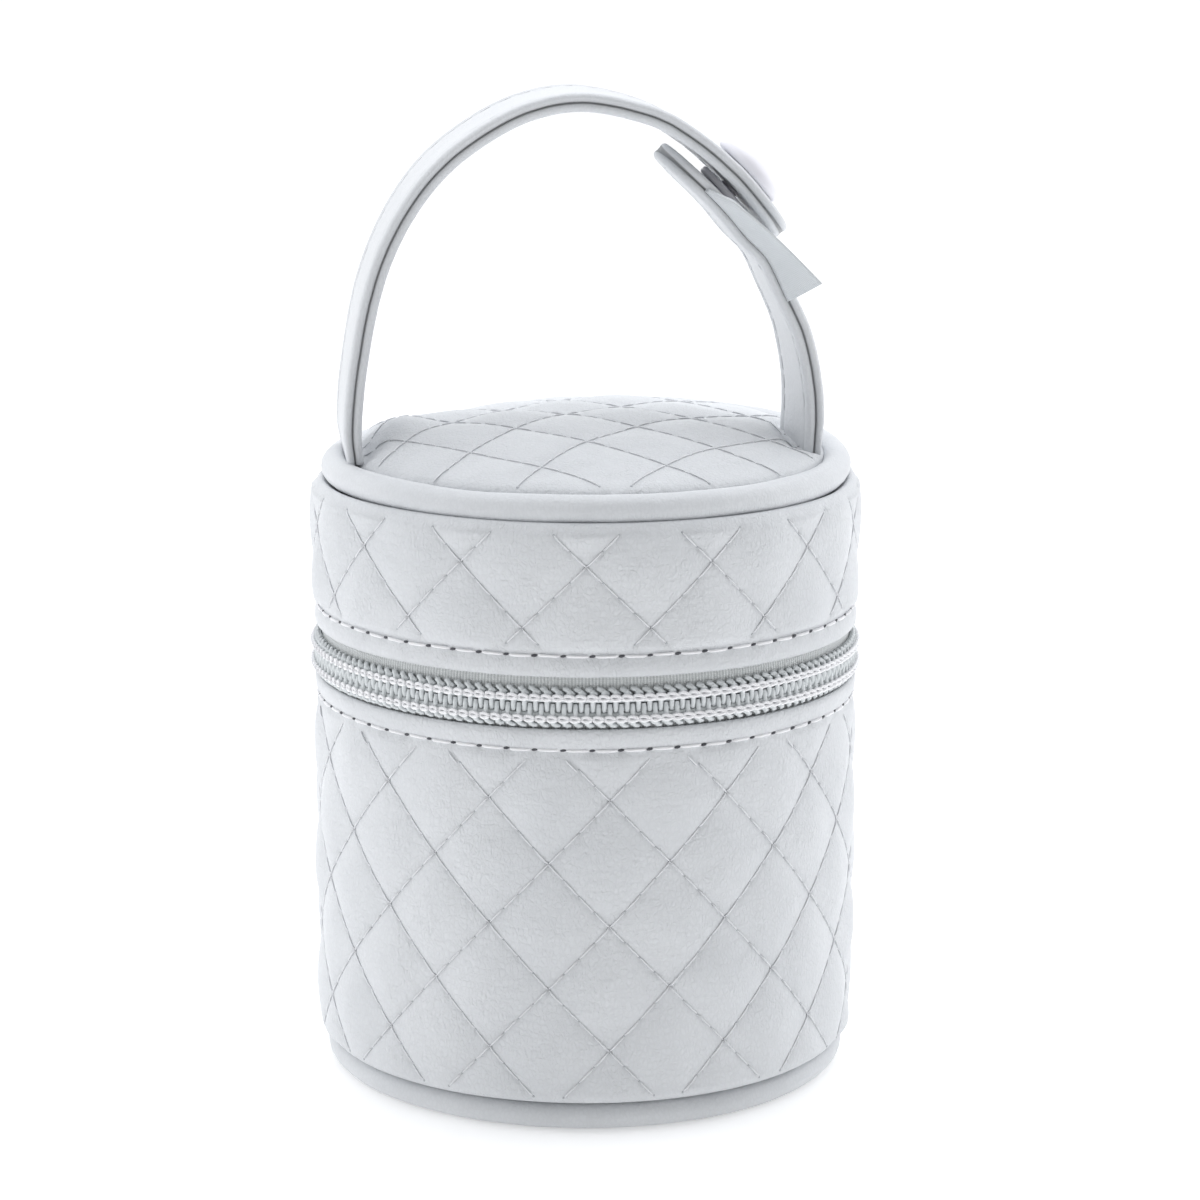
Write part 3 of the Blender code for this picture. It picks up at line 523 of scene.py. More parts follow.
def placing_tree():
    """A tree that puts a unit on every point, by the point's own axes, with seeded variation."""
    tree = bpy.data.node_groups.new("place_units", "GeometryNodeTree")
    face = tree.interface
    sockets = (
        ("Points", "Geometry"), ("Unit", "Object"), ("Finish", "Material"), ("Variation", "Float"), ("Seed", "Int"),
    )
    for name, kind in sockets:
        face.new_socket(name, in_out="INPUT", socket_type="NodeSocket" + kind)
    face.new_socket("Geometry", in_out="OUTPUT", socket_type="NodeSocketGeometry")

    def node(kind, **settings):
        made = tree.nodes.new(kind)
        for key, value in settings.items():
            setattr(made, key, value)
        return made

    given = node("NodeGroupInput")
    result = node("NodeGroupOutput")
    unit = node("GeometryNodeObjectInfo", transform_space="ORIGINAL")
    up, along, size = (node("GeometryNodeInputNamedAttribute", data_type="FLOAT_VECTOR") for _ in range(3))
    for attribute, name in ((up, "up_axis"), (along, "long_axis"), (size, "unit_size")):
        attribute.inputs["Name"].default_value = name
    turn = node("FunctionNodeAxesToRotation", primary_axis="Z", secondary_axis="X")
    less = node("ShaderNodeMath", operation="SUBTRACT")
    less.inputs[0].default_value = 1.0
    more = node("ShaderNodeMath", operation="ADD")
    more.inputs[0].default_value = 1.0
    chance = node("FunctionNodeRandomValue", data_type="FLOAT")
    grow = node("ShaderNodeVectorMath", operation="SCALE")
    place = node("GeometryNodeInstanceOnPoints")
    real = node("GeometryNodeRealizeInstances")
    paint = node("GeometryNodeSetMaterial")
    links = [
        (given.outputs["Unit"], unit.inputs["Object"]),
        (up.outputs["Attribute"], turn.inputs["Primary Axis"]),
        (along.outputs["Attribute"], turn.inputs["Secondary Axis"]),
        (given.outputs["Variation"], less.inputs[1]),
        (given.outputs["Variation"], more.inputs[1]),
        (less.outputs[0], chance.inputs[2]),
        (more.outputs[0], chance.inputs[3]),
        (given.outputs["Seed"], chance.inputs["Seed"]),
        (size.outputs["Attribute"], grow.inputs[0]),
        (chance.outputs[1], grow.inputs["Scale"]),
        (given.outputs["Points"], place.inputs["Points"]),
        (unit.outputs["Geometry"], place.inputs["Instance"]),
        (turn.outputs["Rotation"], place.inputs["Rotation"]),
        (grow.outputs[0], place.inputs["Scale"]),
        (place.outputs["Instances"], real.inputs["Geometry"]),
        (real.outputs["Geometry"], paint.inputs["Geometry"]),
        (given.outputs["Finish"], paint.inputs["Material"]),
        (paint.outputs["Geometry"], result.inputs["Geometry"]),
    ]
    for start, end in links:
        tree.links.new(start, end)
    return tree


def place_units(name, unit, spots, material, variation=0.0, seed=1):
    """Places a unit at each spot: its point, up axis, long axis and size. The result is one plain mesh."""
    mesh = bpy.data.meshes.new(name)
    mesh.from_pydata([tuple(s["at"]) for s in spots], [], [])
    for key, field in (("up_axis", "up"), ("long_axis", "along"), ("unit_size", "size")):
        values = np.array([tuple(s[field]) for s in spots], np.float32)
        mesh.attributes.new(key, "FLOAT_VECTOR", "POINT").data.foreach_set("vector", values.ravel())
    holder = bpy.data.objects.new(name + "_points", mesh)
    bpy.context.scene.collection.objects.link(holder)
    modifier = holder.modifiers.new("Place units", "NODES")
    modifier.node_group = PLACING
    wanted = {"Unit": unit, "Finish": material, "Variation": variation, "Seed": seed}
    for item in PLACING.interface.items_tree:
        if item.name in wanted and item.in_out == "INPUT":
            modifier[item.identifier] = wanted[item.name]
    graph = bpy.context.evaluated_depsgraph_get()
    made = bpy.data.meshes.new_from_object(holder.evaluated_get(graph))
    holder.modifiers.remove(modifier)
    bpy.data.objects.remove(holder)
    for key in ("up_axis", "long_axis", "unit_size"):
        if key in made.attributes:
            made.attributes.remove(made.attributes[key])
    if not made.materials:
        made.materials.append(material)
    made.name = name
    made.shade_smooth()
    piece = bpy.data.objects.new(name, made)
    bpy.context.scene.collection.objects.link(piece)
    return settle(piece, ())


def hidden_unit(obj):
    """A unit that only the node tree uses."""
    obj.hide_render = True
    obj.hide_viewport = True
    return obj


def thread_unit(material):
    """One stitch, 1 mm long and thick before it is sized: a low arch whose ends dive into holes."""
    sections = []
    steps, sides = 6, 5
    for i in range(steps + 1):
        share = 2.0 * i / steps - 1.0
        arch = -0.9 * abs(share) ** 5
        thick = 0.5 * (1.0 - 0.35 * share ** 6)
        sections.append([
            (share / 2 * MM, thick * a * MM, (thick * u + arch) * MM) for a, u in round_section(1.0, sides)
        ])
    return hidden_unit(swept("stitch_unit", sections, material))


def hole_unit(material):
    """A flattened disc of painted shade for the mouth of a needle hole or a quilting dimple, 1 mm across before it
    is sized.
    """
    bm = bmesh.new()
    bmesh.ops.create_uvsphere(bm, u_segments=8, v_segments=5, radius=0.5 * MM)
    bmesh.ops.scale(bm, vec=(1.0, 1.0, 0.35), verts=bm.verts)
    mesh = bpy.data.meshes.new("hole_unit")
    bm.to_mesh(mesh)
    bm.free()
    mesh.materials.append(material)
    obj = bpy.data.objects.new("hole_unit", mesh)
    bpy.context.scene.collection.objects.link(obj)
    return hidden_unit(obj)


# Quilted walls and the lid's dome

def rim_lift(angle):
    """How far the lid's rim stands above its level at an angle from the front, in radians."""
    return RIM_LIFT * max(0.0, math.cos(angle - math.radians(RIM_LIFT_DEG))) ** 2


def lid_lift(angle, height):
    """Lift of a point of the lid, from nothing at the topstitch to all of it at the top."""
    low = LID_EDGE_Z + TOPSTITCH_INSET
    return rim_lift(angle) * min(max((height - low) / (LID_TOP_Z - low), 0.0), 1.0)


def no_lift(*place):
    """The base's edges lie level all round."""
    return 0.0


def puff(across, up):
    """Height of a diamond's padding, 0 on its stitch lines and 1 in its middle."""
    return abs(math.sin(math.pi * (across + up)) * math.sin(math.pi * (across - up))) ** QUILT_FULLNESS


def ease(value, low, high):
    """0 below low, 1 above high, and smooth between them."""
    share = min(max((value - low) / (high - low), 0.0), 1.0)
    return share * share * (3.0 - 2.0 * share)


def on_stitch_line(i, j):
    """Whether a grid point is on one of the two families of stitch lines."""
    return (i + j) % (2 * CELLS) == 0 or (i - j) % (2 * CELLS) == 0


def near_stitch_line(i, j):
    """1 on a stitch line, fading to 0 a few cells away."""
    first = abs((i + j + CELLS) % (2 * CELLS) - CELLS)
    second = abs((i - j + CELLS) % (2 * CELLS) - CELLS)
    return max(0.0, 1.0 - min(first, second) / FADE_CELLS)


def split_cell(i, j):
    """Whether a cell's fold runs from its low left corner to its high right one."""
    rising = abs((i - j + CELLS) % (2 * CELLS) - CELLS)
    falling = abs((i + j + 1 + CELLS) % (2 * CELLS) - CELLS)
    return rising <= falling


class QuiltedWall:
    """A quilted wall as a grid round the Z axis whose cells follow the diamonds."""

    def __init__(self, quilt, band, stitch_radius, full, low_rows, high_rows, lift):
        self.quilt = quilt
        self.steps = quilt["half_diamonds"] * CELLS
        self.stitch_radius = stitch_radius
        self.full = full
        self.lift = lift
        self.row_step = quilt["height"] / 2 / CELLS
        self.first = math.ceil((band[0] - quilt["crossing_z"]) / self.row_step)
        self.last = math.floor((band[1] - quilt["crossing_z"]) / self.row_step)
        self.low_rows = low_rows
        self.high_rows = high_rows

    def angle(self, i):
        return math.radians(self.quilt["crossing_deg"]) + math.tau * i / self.steps

    def columns(self):
        """Columns from the back seam round to the back seam again."""
        return range(-(self.steps // 2), self.steps - self.steps // 2)

    def back_seam(self, i):
        """1 on the upright seam at the back, fading to 0 beside it."""
        away = min(abs(i + self.steps // 2), abs(self.steps - self.steps // 2 - i))
        return math.exp(-((away / BACK_SEAM_CELLS) ** 2))

    def height(self, j):
        return self.quilt["crossing_z"] + self.row_step * j

    def amplitude(self, height):
        low_from, low_to, high_from, high_to = self.full
        return ease(height, low_from, low_to) * (1.0 - ease(height, high_from, high_to))

    def radius(self, i, j):
        """Radius of the padded face at a grid point, with its dimples at the needle holes."""
        height = self.height(j)
        amount = self.amplitude(height)
        angle = self.angle(i)
        place = Vector(ring_point(self.stitch_radius, angle, height)) / MM
        slack = noise.noise(place * 0.09) * 0.22 + noise.noise(place * 0.3) * 0.05
        uneven = 1.0 + 0.16 * noise.noise(place * 0.12 + Vector((7, 3, 1)))
        raised = puff(i / (2 * CELLS), j / (2 * CELLS)) * uneven
        radius = self.stitch_radius + amount * QUILT_PUFF * raised + slack * MM * (0.3 + 0.7 * amount)
        if on_stitch_line(i, j) and i % HOLE_EVERY == 0:
            deeper = CROSSING_DEPTH if i % CELLS == 0 and j % CELLS == 0 else 0.0
            radius -= (HOLE_DEPTH + deeper) * max(amount, 0.25)
        return radius - BACK_SEAM_DEPTH * self.back_seam(i)

    def point(self, radius, i, height):
        angle = self.angle(i)
        return ring_point(radius, angle, height + self.lift(angle, height))

    def face_point(self, i, j):
        """The point of the padded face at a grid point."""
        return Vector(self.point(self.radius(i, j), i, self.height(j)))

    def build(self, name, material, stitch_z, inner_rows):
        """The closed wall: low rows, quilted rows, high rows and the inner side."""
        rows, seam_shade, quilted = [], [], []
        bands = (("low", self.low_rows), ("quilt", None), ("high", self.high_rows), ("inner", inner_rows))
        for kind, table in bands:
            if kind == "quilt":
                for j in range(self.first, self.last + 1):
                    z = self.height(j)
                    rows.append([self.point(self.radius(i, j), i, z) for i in self.columns()])
                    strength = self.amplitude(z)
                    # painted shade along the quilting valleys and the back seam's dent
                    seam_shade.append([
                        max(near_stitch_line(i, j) * strength, self.back_seam(i)) for i in self.columns()
                    ])
                    quilted.append(j)
                continue
            for radius, z in table:
                row = []
                for i in self.columns():
                    angle = self.angle(i)
                    near = math.exp(-((z - stitch_z) / (0.55 * MM)) ** 2)
                    dent = near * (0.16 + 0.10 * math.cos(TOPSTITCH_COUNT * angle)) * MM
                    place = Vector(ring_point(radius, angle, z)) / MM
                    slack = 0.0 if kind == "inner" else noise.noise(place * 0.09) * 0.10 * MM
                    row.append(self.point(radius - dent + slack, i, z))
                rows.append(row)
                # painted shade along the topstitch dent
                seam_shade.append([0.55 * math.exp(-((z - stitch_z) / (0.4 * MM)) ** 2)] * self.steps)
                quilted.append(None)
        faces = []
        count, steps = len(rows), self.steps
        for r in range(count):
            up = (r + 1) % count
            for i in range(steps):
                n = (i + 1) % steps
                a, b, c, d = r * steps + i, r * steps + n, up * steps + n, up * steps + i
                if quilted[r] is None or quilted[up] is None:
                    faces.append((a, b, c, d))
                elif split_cell(i - steps // 2, quilted[r]):
                    faces += [(a, b, c), (a, c, d)]
                else:
                    faces += [(a, b, d), (b, c, d)]
        points = [p for row in rows for p in row]
        return lay_down(name, points, faces, material, seam_shade=[s for row in seam_shade for s in row])

    def stitches(self, thread_radius):
        """Spots for the threads between the needle holes, and for the holes."""
        threads, holes = [], []
        for j in range(self.first, self.last + 1):
            if j % HOLE_EVERY:
                continue
            for i in self.columns():
                if i % HOLE_EVERY or not on_stitch_line(i, j):
                    continue
                here = self.face_point(i, j)
                out = Vector(ring_point(1.0, self.angle(i), 0.0))
                crossing = i % CELLS == 0 and j % CELLS == 0
                wide = CROSSING_WIDTH if crossing else HOLE_WIDTH
                holes.append(spot(here + out * 0.05 * MM, out, (0, 0, 1), [wide / MM] * 3))
                for step, rising in ((1, True), (-1, False)):
                    if ((i - j) if rising else (i + j)) % (2 * CELLS):
                        continue
                    runs = [(0, min(HOLE_EVERY, self.last - j))]
                    if j - HOLE_EVERY < self.first:
                        runs.append((self.first - j, 0))
                    for low, high in runs:
                        ends = [(i + step * low, j + low), (i + step * high, j + high)]
                        if high - low < 2 or any(end not in self.columns() for end, _ in ends):
                            continue
                        below, above = (self.face_point(*end) for end in ends)
                        middle = self.face_point(i + step * (low + high) // 2, j + (low + high) // 2)
                        threads.append(stitch_between(below, above, middle, out, thread_radius))
        return threads, holes


def stitch_between(here, there, middle, out, thread_radius):
    """The spot of one thread that lies between two holes, over the middle point."""
    run = there - here
    size = (run.length / MM * 0.97, 2 * thread_radius / MM, 2 * thread_radius / MM)
    return spot(middle + out * thread_radius, out, run.normalized(), size)


def topstitches(face_radius, z, lift):
    """Spots of the topstitching round an edge: long threads, with a disc of painted shade at the hole between each
    two.
    """
    threads, holes = [], []
    radius = face_radius + TOPSTITCH_PROUD
    size = (0.83 * TOPSTITCH_PITCH / MM, 2 * THREAD_RADIUS / MM, 2 * THREAD_RADIUS / MM)
    for k in range(TOPSTITCH_COUNT):
        angle = math.tau * (k + 0.5) / TOPSTITCH_COUNT
        jitter = 0.12 * MM * noise.noise(Vector((k * 1.7, z / MM, 0.0)))
        out = Vector(ring_point(1.0, angle, 0.0))
        along = Vector((math.cos(angle), math.sin(angle), 0.0))
        at = Vector(ring_point(radius, angle, z + jitter + lift(angle, z)))
        tilt = 0.05 * noise.noise(Vector((k * 2.3, 4.0, z / MM)))
        long_axis = (along + Vector((0.0, 0.0, tilt))).normalized()
        threads.append(spot(at, out, long_axis, size))
        mouth = math.tau * k / TOPSTITCH_COUNT
        out = Vector(ring_point(1.0, mouth, 0.0))
        along = Vector((math.cos(mouth), math.sin(mouth), 0.12)).normalized()
        at = Vector(ring_point(radius - 0.14 * MM, mouth, z + lift(mouth, z)))
        holes.append(spot(at, out, along, (0.95, 0.42, 0.5)))
    return threads, holes


def folded_edge(stitch_z, side, above_stitch, at_stitch):
    """Rows of a folded edge, from just inside its topstitching over the fold: up from it, or down."""
    rows = [
        (above_stitch, -0.5), (at_stitch, 0.0), (39.98 * MM, 0.5), (40.12 * MM, 1.2), (40.18 * MM, 2.0),
        (40.12 * MM, 2.6), (39.90 * MM, 2.95), (39.60 * MM, 3.02), (39.25 * MM, 2.90), (39.02 * MM, 2.5),
    ]
    return [(radius, stitch_z + side * rise * MM) for radius, rise in rows]


def base_cover(material):
    """Padded wall of the base, its folded top edge and its plain inner side."""
    inner = CASE_RADIUS - WALL
    stitch_z = BASE_TOP_Z - TOPSTITCH_INSET
    low_rows = [
        (36.6 * MM, 4.45 * MM),
        (38.4 * MM, 4.25 * MM),
        (39.1 * MM, 4.45 * MM),
        (39.35 * MM, 4.85 * MM),
    ]
    high_rows = folded_edge(stitch_z, 1, 39.78 * MM, BASE_STITCH_RADIUS)
    inner_rows = [
        (39.02 * MM, BASE_TOP_Z - TAPE_HIDDEN - 0.2 * MM),
        (inner, BASE_TOP_Z - TAPE_HIDDEN - 1.0 * MM),
        (inner, 30.0 * MM),
        (inner, 6.5 * MM),
    ]
    wall = QuiltedWall(
        BASE_QUILT,
        (5.3 * MM, stitch_z - 0.9 * MM),
        BASE_BELLY_RADIUS - QUILT_PUFF,
        (3.0 * MM, 8.0 * MM, 52.5 * MM, 57.4 * MM),
        low_rows,
        high_rows,
        no_lift,
    )
    return wall, wall.build("base_wall_quilted", material, stitch_z, inner_rows)


def lid_cover(material):
    """Padded wall of the lid, with its folded edge at the bottom and its shoulder under the piping."""
    inner = CASE_RADIUS - WALL
    stitch_z = LID_EDGE_Z + TOPSTITCH_INSET
    low_rows = folded_edge(stitch_z, -1, 39.80 * MM, LID_STITCH_RADIUS)[::-1]
    high_rows = [
        (39.76 * MM, 87.20 * MM),
        (39.54 * MM, 87.70 * MM),
        (39.14 * MM, 88.05 * MM),
        (38.75 * MM, 88.12 * MM),
        (38.38 * MM, 87.92 * MM),
        (37.40 * MM, 87.15 * MM),
        (36.6 * MM, 87.0 * MM),
    ]
    inner_rows = [
        (inner, 85.5 * MM),
        (inner, LID_EDGE_Z + TAPE_HIDDEN + 1.0 * MM),
        (39.02 * MM, LID_EDGE_Z + TAPE_HIDDEN + 0.2 * MM),
    ]
    wall = QuiltedWall(
        LID_QUILT,
        (stitch_z + 0.9 * MM, 86.8 * MM),
        LID_BELLY_RADIUS - QUILT_PUFF,
        (68.0 * MM, 72.0 * MM, 86.0 * MM, 89.6 * MM),
        low_rows,
        high_rows,
        lid_lift,
    )
    return wall, wall.build("lid_wall_quilted", material, stitch_z, inner_rows)


class LidDome:
    """The puffy quilted top of the lid as a square grid that is trimmed to a circle."""

    def __init__(self):
        self.cell = PANEL_DIAMOND / 2 / CELLS
        self.reach = int(LID_PANEL_RADIUS / self.cell) + 1
        self.inside = LID_PANEL_RADIUS - 0.35 * self.cell

    def height(self, x, y, i, j):
        """Height of the dome at a place of its flat pattern."""
        share = min(math.hypot(x, y) / LID_PANEL_RADIUS, 1.0)
        dome = (1.0 - share * share) ** DOME_FULLNESS
        place = Vector((x, y, 0.0)) / MM
        soft = noise.noise(place * 0.07 + Vector((3.0, 9.0, 2.0))) * 0.5 * MM
        padding = QUILT_PUFF * (puff(i / (2 * CELLS), j / (2 * CELLS)) - 1.0) * dome
        z = LID_PANEL_RIM_Z + DOME_RISE * dome + padding + soft * dome
        away = ((x / MM + 27.5) / 6.5) ** 2 + ((y / MM - 2.0) / 14.0) ** 2
        z += 2.0 * MM * math.exp(-away) * min(1.0, 4.0 * dome)
        if on_stitch_line(i, j) and i % HOLE_EVERY == 0:
            z -= HOLE_DEPTH * dome
        return z, dome, share

    def point(self, i, j):
        x, y = i * self.cell, j * self.cell
        far = math.hypot(x, y)
        if far > self.inside:
            x, y = x * LID_PANEL_RADIUS / far, y * LID_PANEL_RADIUS / far
        z, dome, share = self.height(x, y, i, j)
        side = 1 if x > 0.0 else -1
        root = {-1: -LONG_ROUTE[0]["x"], 1: SHORT_ROUTE[0]["x"]}[side]
        face = root * HANDLE_HALF_SPAN - STRAP_THICKNESS / 2
        x -= DOME_PEAK_SHIFT * dome * dome
        beside = math.hypot(max(0.0, face - abs(x)), max(0.0, abs(y) - STRAP_WIDTH / 2))
        most = HANDLE_ROOT_Z - 0.6 * MM + max(0.0, beside - 0.8 * MM) * 1.3
        soft = 0.5 * MM
        z = min(z, most) - soft * math.log1p(math.exp(-abs(z - most) / soft))
        angle = math.atan2(x, -y)
        snug = 1.0 + 0.018 * ease(share, 0.90, 1.0)
        fuller = 0.45 * MM * ease(share, 0.80, 1.0)
        return Vector((x * snug, y * snug, z + fuller + rim_lift(angle) * share * share))

    def normal(self, i, j):
        """Upright direction of the dome's surface at a grid point."""
        side = self.point(i + 1, j) - self.point(i - 1, j)
        ahead = self.point(i, j + 1) - self.point(i, j - 1)
        return side.cross(ahead).normalized()

    def build(self, name, material):
        """The closed panel: its padded top, a short skirt and a plain underside."""
        index, points, seam_shade = {}, [], []
        for j in range(-self.reach - 2, self.reach + 3):
            for i in range(-self.reach - 2, self.reach + 3):
                if math.hypot(i, j) * self.cell < LID_PANEL_RADIUS + 2.0 * self.cell:
                    index[i, j] = len(points)
                    points.append(self.point(i, j))
                    # painted shade along the dome's quilting valleys
                    seam_shade.append(near_stitch_line(i, j))
        faces = []
        for i, j in index:
            keys = ((i, j), (i + 1, j), (i + 1, j + 1), (i, j + 1))
            if not any(math.hypot(*key) * self.cell < self.inside for key in keys):
                continue
            corners = [index[key] for key in keys]
            if split_cell(i, j):
                faces += [(corners[0], corners[1], corners[2]), (corners[0], corners[2], corners[3])]
            else:
                faces += [(corners[0], corners[1], corners[3]), (corners[1], corners[2], corners[3])]
        panel = lay_down(name, points, faces, material, seam_shade=seam_shade, outward=False)
        bm = bmesh.new()
        bm.from_mesh(panel.data)
        bmesh.ops.delete(bm, geom=[v for v in bm.verts if not v.link_faces], context="VERTS")
        bmesh.ops.remove_doubles(bm, verts=bm.verts, dist=1e-6)
        rim = [e for e in bm.edges if e.is_boundary]
        grown = bmesh.ops.extrude_edge_only(bm, edges=rim)
        skirt = [v for v in grown["geom"] if isinstance(v, bmesh.types.BMVert)]
        for vert in skirt:
            vert.co.z -= PANEL_THICKNESS
            vert.co.x *= 0.99
            vert.co.y *= 0.99
        bmesh.ops.holes_fill(bm, edges=[e for e in bm.edges if e.is_boundary], sides=0)
        bmesh.ops.recalc_face_normals(bm, faces=bm.faces)
        bm.to_mesh(panel.data)
        bm.free()
        panel.data.shade_smooth()
        return panel

    def stitches(self):
        """Spots for the threads and holes of the dome."""
        threads, holes = [], []
        edge = (LID_PANEL_RADIUS - 0.3 * MM) / self.cell
        for j in range(-self.reach - 3, self.reach + 4):
            for i in range(-self.reach - 3, self.reach + 4):
                if i % HOLE_EVERY or j % HOLE_EVERY or not on_stitch_line(i, j):
                    continue
                here = self.point(i, j)
                if math.hypot(i, j) < edge:
                    up = self.normal(i, j)
                    wide = 0.55 if i % CELLS == 0 and j % CELLS == 0 else 0.4
                    holes.append(spot(here + up * 0.04 * MM, up, (1, 0, 0), [wide] * 3))
                for step in (1, -1):
                    line = (i - j) if step > 0 else (i + j)
                    i2, j2 = i + step * HOLE_EVERY // 2, j + HOLE_EVERY // 2
                    if line % (2 * CELLS) or math.hypot(i2, j2) > edge:
                        continue
                    there = self.point(i + step * HOLE_EVERY, j + HOLE_EVERY)
                    middle, up = self.point(i2, j2), self.normal(i2, j2)
                    threads.append(stitch_between(here, there, middle, up, QUILT_THREAD_RADIUS))
        return threads, holes


# Piping, panels and hinge

def piping(name, ring_radius, z, cord, lift, wobble, material):
    """A ring of corded piping whose skin wanders a little, with its seam on the inner side."""
    steps, sides = 320, 20
    sections = []
    for i in range(steps):
        angle = math.tau * i / steps
        place = Vector(ring_point(10.0, angle, z / MM))
        thick = cord * (1.0 + 0.05 * wobble * noise.noise(place * 0.35))
        rise = 0.32 * MM * wobble * noise.noise(place * 0.16 + Vector((5.0, 1.0, 8.0)))
        centre = Vector(ring_point(ring_radius, angle, z + rise + lift(angle)))
        out = Vector(ring_point(1.0, angle, 0.0))
        section = []
        for k in range(sides):
            turn = math.tau * k / sides
            pinch = 1.0 - 0.07 * math.exp(-((math.cos(turn) + 1.0) / 0.15) ** 2)
            crease = 0.02 * noise.noise(place * 1.3 + Vector((0.0, 0.0, 2.0 * turn)))
            reach = thick * (pinch + crease)
            section.append(centre + out * reach * math.cos(turn) + Vector((0.0, 0.0, reach * math.sin(turn))))
        sections.append(section)
    return swept(name, sections, material, closed_path=True)


def base_round(material):
    """The round underside, slightly soft, flat where it stands."""
    steps, rings = 96, 22
    points, faces = [(0.0, 0.0, 0.0)], []
    rows = [(BASE_PANEL_RADIUS * (k + 1) / rings, 0.0) for k in range(rings - 1)]
    rows += [(BASE_PANEL_RADIUS, 0.7 * MM), (BASE_PANEL_RADIUS, 2.4 * MM)]
    rows += [(BASE_PANEL_RADIUS * (rings - k) / rings, PANEL_THICKNESS) for k in range(1, rings)]
    for radius, z in rows:
        for i in range(steps):
            angle = math.tau * i / steps
            place = Vector(ring_point(radius, angle, z)) / MM
            soft = 0.12 * MM * noise.noise(place * 0.2) if z > 2.9 * MM else 0.0
            points.append(ring_point(radius, angle, z + soft))
    points.append((0.0, 0.0, PANEL_THICKNESS))
    last = len(points) - 1
    for i in range(steps):
        n = (i + 1) % steps
        faces.append((0, 1 + n, 1 + i))
        for r in range(len(rows) - 1):
            low, high = 1 + r * steps, 1 + (r + 1) * steps
            faces.append((low + i, low + n, high + n, high + i))
        top = 1 + (len(rows) - 1) * steps
        faces.append((top + i, top + n, last))
    return lay_down("base_round", points, faces, material)


def hinge_gusset(material):
    """The soft gusset that joins lid and base at the back."""
    low, high = BASE_TOP_Z - TAPE_HIDDEN, LID_EDGE_Z + TAPE_HIDDEN
    rows = [
        (38.75, low / MM), (38.75, 58.6), (38.95, 59.5), (39.7, 60.2), (40.05, 61.3), (40.15, 62.9),
        (40.05, 64.5), (39.7, 65.6), (38.95, 66.3), (38.75, 67.2), (38.75, high / MM),
    ]
    steps = 90
    sections = []
    for i in range(steps + 1):
        angle = math.radians(180.0 - HINGE_DEG / 2 + HINGE_DEG * i / steps)
        outer, inner = [], []
        for radius, z in rows:
            place = Vector(ring_point(radius, angle, z))
            fold = 0.12 * noise.noise(place * Vector((0.5, 0.5, 1.4)))
            outer.append(Vector(ring_point((radius + fold) * MM, angle, z * MM)))
            inner.append(Vector(ring_point((radius - 1.1) * MM, angle, z * MM)))
        sections.append(outer + inner[::-1])
    return swept("back_hinge_gusset", sections, material)


# Zip

def zip_tape(name, side, material):
    """One woven tape: its visible strip beside the teeth and the part sewn behind the folded edge."""
    edge = BASE_TOP_Z if side < 0 else LID_EDGE_Z
    meeting = ZIP_Z + side * 0.15 * MM
    far = edge + side * TAPE_HIDDEN
    heights = [meeting + (edge - meeting) * k / 6 for k in range(7)] + [edge + side * 0.6 * MM, far]
    front = [TAPE_RADIUS] * 6 + [TAPE_RADIUS - 0.12 * MM, 38.72 * MM, 38.7 * MM]
    steps = 420
    sections = []
    for i in range(steps + 1):
        angle = math.radians(-ZIP_HALF_DEG + 2 * ZIP_HALF_DEG * i / steps)
        outer = [Vector(ring_point(r, angle, z)) for r, z in zip(front, heights)]
        inner = [Vector(ring_point(r - TAPE_THICKNESS, angle, z)) for r, z in zip(front, heights)]
        sections.append(outer + inner[::-1])
    return swept(name, sections, material)


def catmull(points, samples):
    """Points along a smooth curve through the given ones."""
    ends = [points[0] * 2 - points[1]] + points + [points[-1] * 2 - points[-2]]
    curve = []
    for p0, p1, p2, p3 in zip(ends, ends[1:], ends[2:], ends[3:]):
        for i in range(samples):
            t = i / samples
            bend = (p0 * 2 - p1 * 5 + p2 * 4 - p3) * t * t
            twist = (p1 * 3 - p0 - p2 * 3 + p3) * t * t * t
            curve.append((p1 * 2 + (p2 - p0) * t + bend + twist) / 2)
    return curve + [points[-1].copy()]


def tube(name, line, radius, sides, material, flat=1.0):
    """A thin tube along a line of points."""
    sections = []
    lift = Vector((0.0, 0.0, 1.0))
    for i, point in enumerate(line):
        ahead = (line[min(i + 1, len(line) - 1)] - line[max(i - 1, 0)]).normalized()
        side = ahead.cross(lift)
        if side.length < 0.05:
            side = ahead.cross(Vector((0.0, 1.0, 0.0)))
        side.normalize()
        other = side.cross(ahead)
        sections.append([point + side * a + other * u * flat for a, u in round_section(radius, sides)])
    return swept(name, sections, material)


def tooth_unit(material):
    """One turn of the coil: X along the zip, Y away from the meeting line, Z out of the case."""
    line = [
        Vector((-0.46, 2.35, -0.30)),
        Vector((-0.34, 2.68, -0.02)),
        Vector((-0.14, 2.40, 0.30)),
        Vector((0.00, 1.30, 0.38)),
        Vector((0.00, 0.20, 0.34)),
        Vector((0.00, -0.42, 0.16)),
        Vector((0.02, -0.52, -0.12)),
        Vector((0.08, 0.10, -0.32)),
        Vector((0.60, 2.00, -0.34)),
    ]
    line = [point * MM for point in line]
    return hidden_unit(tube("tooth_unit", line, 0.37 * MM, 6, material))


def coil_end_unit(material):
    """The outer bend of one turn of the coil, which overlaps the next one like a ruffle."""
    line = [
        Vector((-0.85, 2.62, -0.18)),
        Vector((-0.50, 2.50, 0.08)),
        Vector((0.0, 2.22, 0.20)),
        Vector((0.55, 1.85, 0.10)),
    ]
    line = [point * MM for point in catmull(line, 2)]
    return hidden_unit(tube("coil_end_unit", line, 0.34 * MM, 6, material, 1.1))


